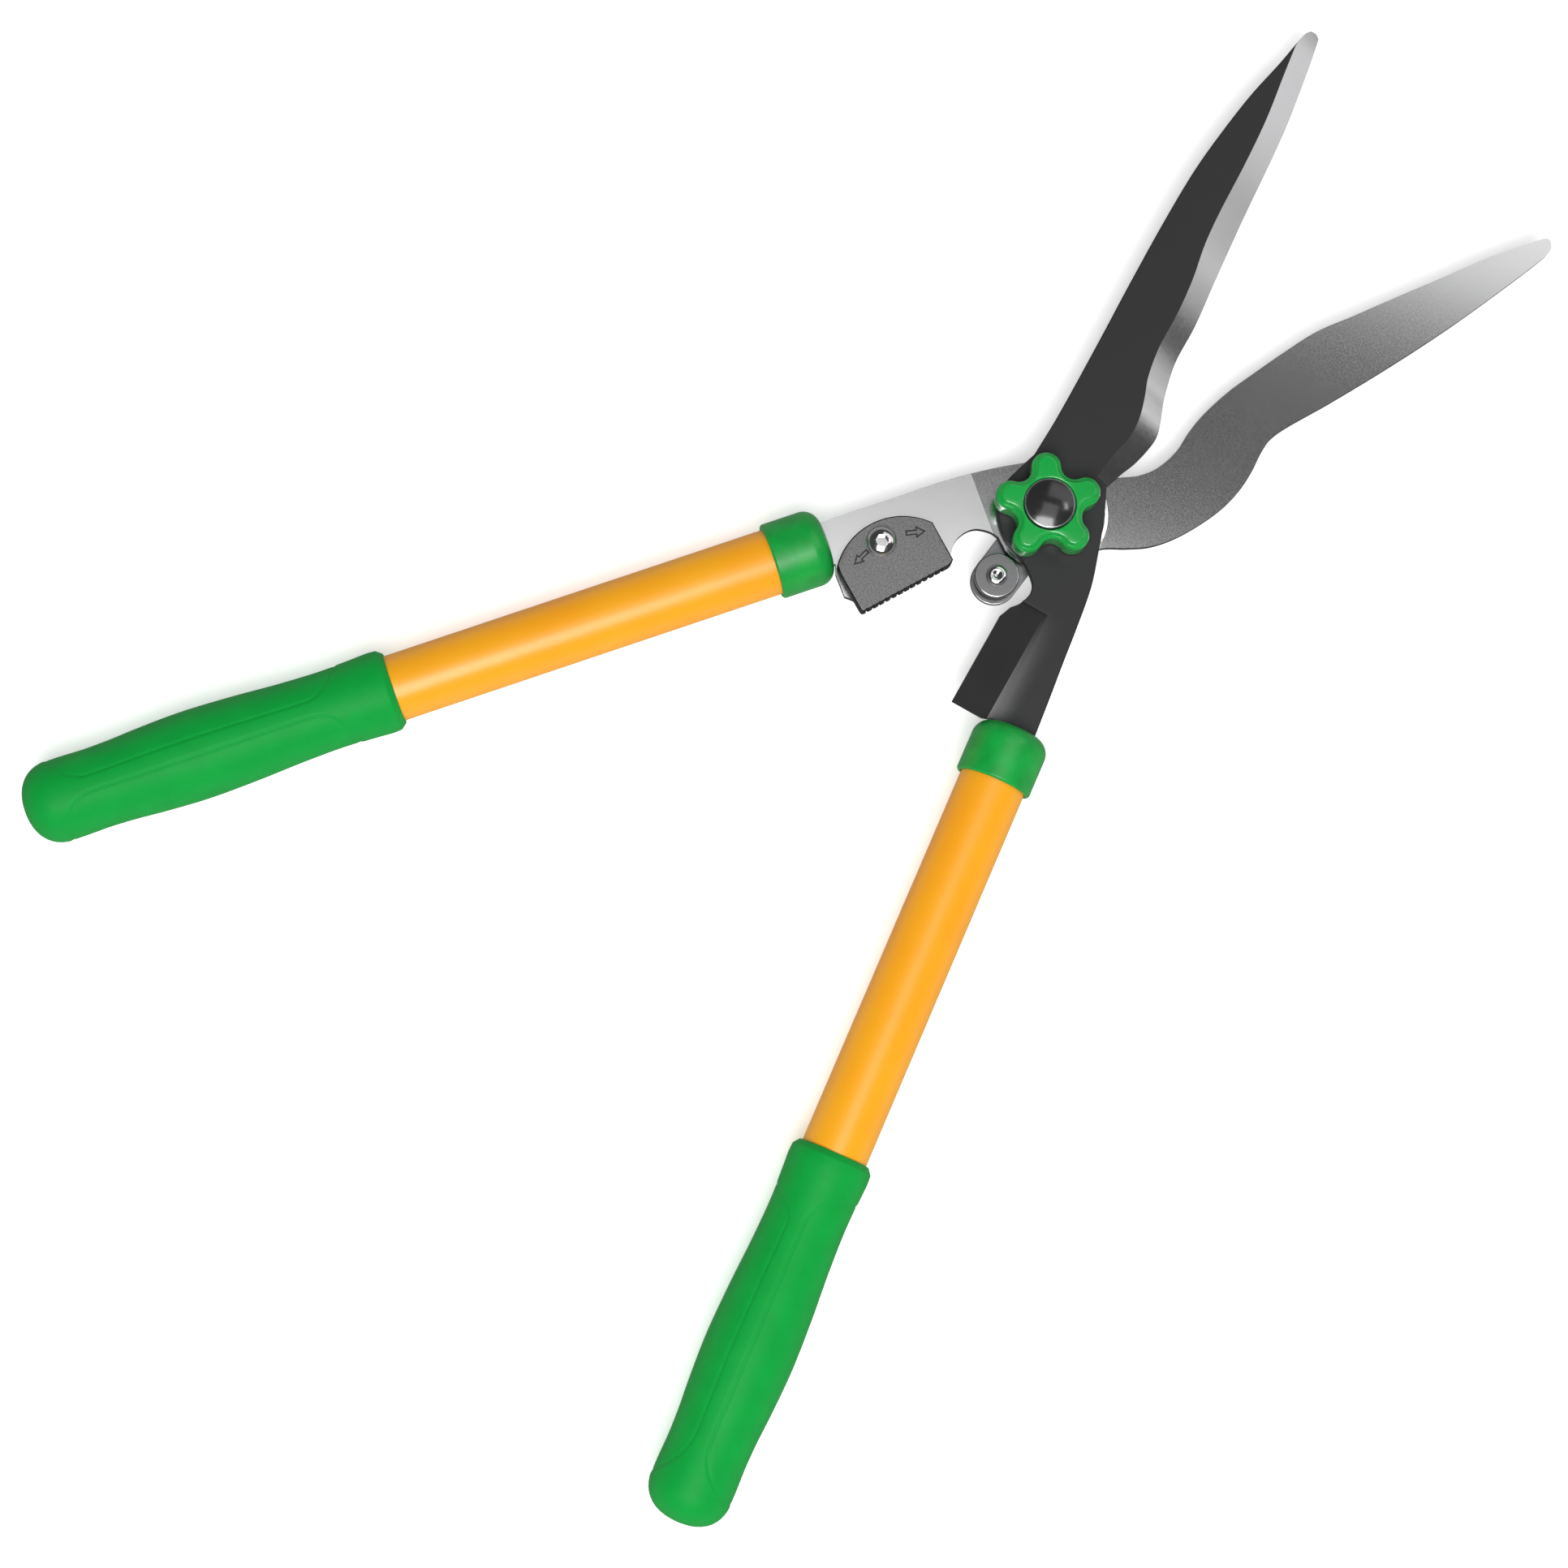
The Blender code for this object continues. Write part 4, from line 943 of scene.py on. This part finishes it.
def star(inset, lobe_steps=16, valley_steps=12):
    """Five round lobes joined by round valleys, moved inward by inset."""
    lobe_centre = LOBE_TIP - LOBE_RADIUS
    half_pitch = math.pi / LOBES
    spread = 2 * lobe_centre * math.cos(half_pitch)
    top = lobe_centre ** 2 + VALLEY ** 2 - spread * VALLEY - LOBE_RADIUS ** 2
    valley_radius = top / (2 * LOBE_RADIUS - 2 * VALLEY + spread)
    valley_centre = VALLEY + valley_radius
    lobe = Vector((lobe_centre, 0.0))
    valley = Vector((valley_centre * math.cos(half_pitch), valley_centre * math.sin(half_pitch)))
    touch = math.degrees(math.atan2(valley.y - lobe.y, valley.x - lobe.x))
    points = []
    for i in range(LOBES):
        turn = Matrix.Rotation(i * 2 * half_pitch, 2)
        stretch = arc(lobe, LOBE_RADIUS - inset, -touch, touch, lobe_steps)
        last = 2 * math.degrees(half_pitch) + 180.0 - touch
        stretch += arc(valley, valley_radius + inset, 180.0 + touch, last, valley_steps)[1:-1]
        points.extend(tuple(turn @ Vector(point)) for point in stretch)
    return points


def make_knob():
    """A ring with star-shaped walls, a round shoulder and a crease inside its rim."""
    shell = Shell()
    # the inset of the star's outline by its distance below the top
    shoulder = ((0.0, 3.1), (0.05, 2.6), (0.2, 2.1), (0.46, 1.7), (0.78, 1.45), (1.05, 1.34), (1.25, 1.2),
                (1.38, 0.9), (1.52, 0.55), (1.72, 0.26), (2.0, 0.08), (2.4, 0.0))
    plan = [(0.9, KNOB_LOW), (0.25, KNOB_LOW + 0.25), (0.0, KNOB_LOW + 0.9)]
    plan += [(inset, KNOB_TOP - drop) for inset, drop in shoulder]
    rings = [shell.ring([(x, y, z) for x, y in star(inset)]) for inset, z in plan]
    bore = [(9.75, KNOB_TOP), (9.45, KNOB_TOP - 0.08), (9.25, KNOB_TOP - 0.3), (9.2, KNOB_TOP - 0.7),
            (9.2, KNOB_LOW + 2.6), (9.6, KNOB_LOW + 2.6), (9.6, KNOB_LOW)]
    for radius, z in bore:
        ring = []
        for x, y in star(2.4):
            scale = radius / math.hypot(x, y)
            ring.append((x * scale, y * scale, z))
        rings.append(shell.ring(ring))
    rings.append(rings[0])
    shell.loft(rings)
    matrix = Matrix.Rotation(math.radians(LOBE_PHASE), 4, "Z")
    knob = solid("tension_knob_finished", shell, matrix, ("knob",))
    finish_piece(knob, "tension_knob", ["knob"], 50)

    rim = CAP_TOP - 1.9
    steps = 12
    profile = [(0.0, CAP_TOP)]
    for i in range(1, steps + 1):
        profile.append((CAP_RADIUS * 0.94 * i / steps, CAP_TOP - 1.55 * (i / steps) ** 2))
    profile += [(CAP_RADIUS * 0.975, rim + 0.25), (CAP_RADIUS, rim - 0.1), (CAP_RADIUS, CAP_LOW),
                (0.0, CAP_LOW)]
    kinds = [0] * steps + [1, 1] + [0] * 3
    cap = solid("knob_cap_finished", lathe(profile, 72, kinds), Matrix.Identity(4), ("cap", "zinc"))
    finish_piece(cap, "tension_knob", ["knob_cap"], 40)


# ---- bumper

BUMPER_REACH = 29.5
BUMPER_ANGLE = 262.3
BRACKET_HALF_WIDTH = 8.3


def make_bumper():
    place = UPPER @ Matrix.Rotation(math.radians(BUMPER_ANGLE), 4, "Z")
    there = shifted(place, (BUMPER_REACH, 0.0))
    rubber = [(RIVET_HOLE, RUBBER_LOW), (6.7, RUBBER_LOW), (7.0, RUBBER_LOW + 0.12), (7.1, RUBBER_LOW + 0.5),
              (7.1, RUBBER_TOP - 1.4), (6.9, RUBBER_TOP - 1.1), (6.9, RUBBER_TOP - 0.9),
              (7.1, RUBBER_TOP - 0.6), (7.05, RUBBER_TOP - 0.2), (6.8, RUBBER_TOP),
              (RIVET_HOLE, RUBBER_TOP)]
    thing = solid("bumper_rubber_finished", lathe(rubber, 64, closed=True), there, ("rubber",))
    finish_piece(thing, "bumper", ["bumper_rubber"], 40)

    disc = [(RIVET_HOLE, DISC_LOW), (7.45, DISC_LOW), (7.8, DISC_LOW + 0.12), (7.9, DISC_LOW + 0.45),
            (7.9, DISC_TOP - 0.55), (7.78, DISC_TOP - 0.22), (7.5, DISC_TOP - 0.04), (7.3, DISC_TOP),
            (3.0, DISC_TOP), (2.85, DISC_TOP - 0.05), (RIVET_HOLE, DISC_TOP - 0.05)]
    kinds = [0, 0, 0, 0, 1, 1, 1, 0, 0, 0, 0]
    thing = solid("bumper_disc_finished", lathe(disc, 80, kinds, closed=True), there, ("disc", "rim"))
    finish_piece(thing, "bumper", ["bumper_disc"], 40)

    # each radius with its distance below the top, then above the bottom
    head = ((0.0, 0.6), (0.8, 0.55), (1.2, 0.25), (1.6, 0.03), (2.2, 0.0), (2.8, 0.12), (3.3, 0.4),
            (3.65, 0.8), (3.7, 1.1), (3.6, 1.2), (1.6, 1.2))
    tail = ((1.6, 1.2), (2.75, 1.15), (2.8, 0.6), (2.3, 0.1), (1.2, 0.0), (0.0, 0.0))
    rivet = [(radius, RIVET_TOP - drop) for radius, drop in head]
    rivet += [(radius, RIVET_LOW + rise) for radius, rise in tail]
    thing = solid("bumper_rivet_finished", lathe(rivet, 40), there, ("chrome",))
    finish_piece(thing, "bumper", ["bumper_rivet"], 50)

    outline = [*arc((BUMPER_REACH, 0.0), BRACKET_HALF_WIDTH, -90.0, 90.0, 28),
               *arc((0.0, 0.0), BRACKET_HALF_WIDTH, 90.0, 270.0, 28)]
    plate = prism(outline, BRACKET_LOW, BRACKET_TOP, 0.3)
    bracket = solid("bumper_bracket_finished", plate, place, ("bracket",))
    low, high = BRACKET_LOW - 1.0, BRACKET_TOP + 1.0
    carve(bracket, [drill("cut_pivot", place, (0.0, 0.0), PIVOT_HOLE, low, high, 40),
                    drill("cut_rivet", place, (BUMPER_REACH, 0.0), RIVET_HOLE, low, high, 40)])
    finish_piece(bracket, "bumper", ["bumper_bracket"], 30)


# ---- anvil

ANVIL_CENTRE = (-1.2, -56.8)
ANVIL_RADIUS = 24.0
ANVIL_EDGE = 0.9
SCREW_AT = (-17.6, -56.5)


def anvil_outline(steps=30):
    """A D: a round back, straight ends and a straight edge facing the branch cutter."""
    back = arc(ANVIL_CENTRE, ANVIL_RADIUS, 126.0, 226.0, steps)
    low = back[-1][1] - 0.6
    high = back[0][1] - 0.2
    foot = [(-14.5, low), (ANVIL_EDGE - 1.2, low), (ANVIL_EDGE - 0.3, low + 0.3), (ANVIL_EDGE, low + 1.2)]
    head = [(ANVIL_EDGE, high - 2.4), (ANVIL_EDGE - 0.3, high - 1.2), (ANVIL_EDGE - 1.2, high)]
    return [*back, *foot, *head], low, high


def arrow(tail, tip, width):
    """A flat arrow's outline from tail to tip."""
    start = Vector(tail)
    along = (Vector(tip) - start)
    length = along.length
    along.normalize()
    side = Vector((-along.y, along.x))
    shape = [(0.0, 0.22), (0.5, 0.22), (0.5, 0.5), (1.0, 0.0), (0.5, -0.5), (0.5, -0.22), (0.0, -0.22)]
    points = [start + along * length * a + side * width * b for a, b in shape]
    return [(point.x, point.y) for point in points]


def arrow_relief(outline):
    """A raised outline of an arrow, sunk a little into the plate."""
    shell = Shell()
    low = ANVIL_TOP - 0.35
    section = ((0.0, low), (0.08, ANVIL_TOP), (0.42, ANVIL_TOP), (0.5, low))
    rings = [shell.ring([(x, y, z) for x, y in offset(outline, inset)]) for inset, z in section]
    rings.append(rings[0])
    shell.loft(rings)
    return shell


def make_anvil():
    outline, low, high = anvil_outline()
    top = ANVIL_TOP - 0.3
    # the side walls take the near-black cast with painted shade, and the top takes the grey cast
    materials = ("cast", "cast_side_shade")
    anvil = solid("anvil_finished", prism(outline, ANVIL_LOW, top, 0.45, (1, 0)), LOWER, materials)
    cutters = []
    teeth = 13
    pitch = (high - 3.2 - low - 1.6) / teeth
    for i in range(teeth):
        middle = low + 2.2 + i * pitch
        wide = pitch * (0.36 + 0.08 * math.sin(5.1 * i))
        notch = [(ANVIL_EDGE + 1.0, middle - wide), (ANVIL_EDGE + 1.0, middle + wide),
                 (ANVIL_EDGE - 0.55, middle + wide * 0.35), (ANVIL_EDGE - 0.75, middle - wide * 0.2)]
        tooth = prism(notch, ANVIL_LOW - 1.0, top + 1.0, 0.0, (1, 1))
        cutters.append(solid("cut_tooth", tooth, LOWER, materials))
    cutters.append(drill("cut_screw", LOWER, SCREW_AT, SCREW_HOLE, ANVIL_LOW - 1.0, top + 1.0, 40))
    carve(anvil, cutters)
    finish_piece(anvil, "anvil_block", ["anvil"], 28)
    for name, outline in (("anvil_arrow_front", arrow((-16.4, -47.6), (-13.6, -41.0), 4.4)),
                          ("anvil_arrow_back", arrow((-17.3, -62.2), (-15.2, -69.0), 4.0))):
        relief = solid(name, arrow_relief(outline), LOWER, ("cast_dark",))
        finish_piece(relief, "anvil_block", (), 30)

    head_low = ANVIL_TOP + 0.3
    rise = SCREW_TOP - head_low
    dome = [(5.3 * math.cos(t), head_low + 0.35 + (rise - 0.35) * math.sin(t))
            for t in (math.radians(66.0 - 6.0 * i) for i in range(12))]
    profile = [(0.0, SCREW_TOP - 0.3), *dome, (5.3, head_low + 0.2), (5.1, head_low), (3.0, head_low),
               (3.0, SCREW_LOW + 0.5), (2.5, SCREW_LOW), (0.0, SCREW_LOW)]
    matrix = shifted(LOWER, SCREW_AT)
    screw = solid("anvil_screw_finished", lathe(profile, 64), matrix, ("chrome",))
    hexagon = circle((0.0, 0.0), 4.0 / math.sqrt(3.0), 6)
    carve(screw, [solid("cut_socket", prism(hexagon, SCREW_TOP - 2.4, SCREW_TOP + 1.0), matrix)])
    finish_piece(screw, "lower_half", ["anvil_screw"], 30)


# ---- nodes that keep their CAD shape

def dress_nodes():
    finishes = {
        "zinc": ("pivot_bolt", "keyed_washer", "spring_washer", "knob_nut", "anvil_nut", "anvil_washer"),
        "brass": ("pivot_bushing",),
        "nylon": ("friction_washer",),
        "plug": ("upper_tang_plug", "lower_tang_plug"),
    }
    for material, nodes in finishes.items():
        for node in nodes:
            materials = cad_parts[node].data.materials
            materials.clear()
            materials.append(MATERIALS[material])


# ---- studio

# the room has pale walls, and a dim ceiling that the flat steel mirrors between the light panels
WALLS = (0.32, 0.32, 0.32)
CEILING = (0.055, 0.055, 0.055)
WALL_HEIGHT = 0.1
CEILING_HEIGHT = 0.45
FLOOR_HALF = 6.0
FLOOR_DROP = 0.0005
FLOOR_GLOW = 0.42
KEY_PLACE = Vector((0.45, -0.66, 1.5))
PANELS = (
    # name, place, turn, size and radiance of the panels overhead
    ("front_panel", (0.32, 1.62, 1.5), 27.5, (2.4, 1.2), 0.98),
    ("overhead_panel", (0.14, 0.05, 1.5), 30.0, (0.75, 0.7), 1.3),
    ("strip", (0.44, 0.97, 1.5), 45.0, (0.22, 0.6), 6.0),
)


def area_light(name, place, rotation, size, radiance):
    """A rectangular light panel. At no rotation it faces down and its size is along X and Y."""
    light = bpy.data.lights.new(name, "AREA")
    light.shape = "RECTANGLE"
    light.size, light.size_y = size
    light.energy = radiance * math.pi * size[0] * size[1]
    lamp = add_object(name, light)
    lamp.location = place
    lamp.rotation_euler = rotation


def make_floor():
    """A pale floor that glows a little and that mirror-like surfaces don't see."""
    mesh = bpy.data.meshes.new("floor")
    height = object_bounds()[0][2] - FLOOR_DROP
    corners = [(-1, -1), (1, -1), (1, 1), (-1, 1)]
    mesh.from_pydata([(x * FLOOR_HALF, y * FLOOR_HALF, height) for x, y in corners], [], [(0, 1, 2, 3)])
    floor = add_object("floor", mesh)
    paint = Paint("pale_floor", (0.95, 0.95, 0.95), 0.8)
    paint.set_colour(paint.shade(paint.ramp(paint.noise(0.002, 2.0), 0.3, 0.7), 0.99, 1.01))
    paint.value("Emission Color", (1.0, 1.0, 1.0, 1.0))
    paint.value("Emission Strength", FLOOR_GLOW)
    mesh.materials.append(paint.material)
    floor.visible_glossy = False


def make_studio():
    """The room, a soft key light above the handles, and light panels overhead that the steel mirrors."""
    world = bpy.data.worlds.new("studio")
    bpy.context.scene.world = world
    world.use_nodes = True
    tree = world.node_tree
    place = tree.nodes.new("ShaderNodeTexCoord")
    split = tree.nodes.new("ShaderNodeSeparateXYZ")
    tree.links.new(place.outputs["Generated"], split.inputs["Vector"])
    ramp = tree.nodes.new("ShaderNodeValToRGB")
    tree.links.new(split.outputs["Z"], ramp.inputs["Fac"])
    low, high = ramp.color_ramp.elements
    low.position = WALL_HEIGHT
    low.color = (*WALLS, 1.0)
    high.position = CEILING_HEIGHT
    high.color = (*CEILING, 1.0)
    tree.links.new(ramp.outputs["Color"], tree.nodes["Background"].inputs["Color"])
    area_light("key", KEY_PLACE, KEY_PLACE.to_track_quat("Z", "Y").to_euler(), (0.9, 0.9), 9.8)
    for name, spot, turn, size, radiance in PANELS:
        area_light(name, spot, (0.0, 0.0, math.radians(turn)), size, radiance)


CAMERA_LENS = 67.08
CAMERA_PLACE = (0.0815, -0.2516, 1.0130)
CAMERA_VIEW = (0.02915, 0.13724, -0.99011)
CAMERA_ROLL = 45.285


def make_camera():
    """A camera almost above the shears, turned about its view so that they lie across the picture."""
    camera = bpy.data.cameras.new("camera")
    camera.lens = CAMERA_LENS
    camera.sensor_width = 36.0
    camera.clip_start = 0.01
    thing = add_object("camera", camera)
    down = Vector((0.0, 0.0, -1.0))
    tilt = down.rotation_difference(Vector(CAMERA_VIEW)).to_matrix().to_4x4()
    roll = Matrix.Rotation(math.radians(CAMERA_ROLL), 4, "Z")
    thing.matrix_world = Matrix.Translation(CAMERA_PLACE) @ roll @ tilt
    bpy.context.scene.camera = thing


def build():
    handles = (("upper", handle_matrix(UPPER, UPPER_HANDLE, (UPPER_LOW + UPPER_TOP) / 2)),
               ("lower", handle_matrix(LOWER, LOWER_HANDLE, (LOWER_LOW + LOWER_TOP) / 2)))
    make_upper_blade()
    make_lower_blade()
    for side, matrix in handles:
        make_tube(side, matrix)
    for (side, matrix), tang in zip(handles, (UPPER_TANG, LOWER_TANG)):
        make_ferrule(side, matrix, tang)
    for (side, matrix), (turn, ends) in zip(handles, GRIP_PANELS):
        make_grip(side, matrix, turn, ends)
    make_knob()
    make_bumper()
    make_anvil()
    dress_nodes()
    make_floor()
    make_studio()
    make_camera()


build()
bpy.context.scene.view_settings.view_transform = "Standard"
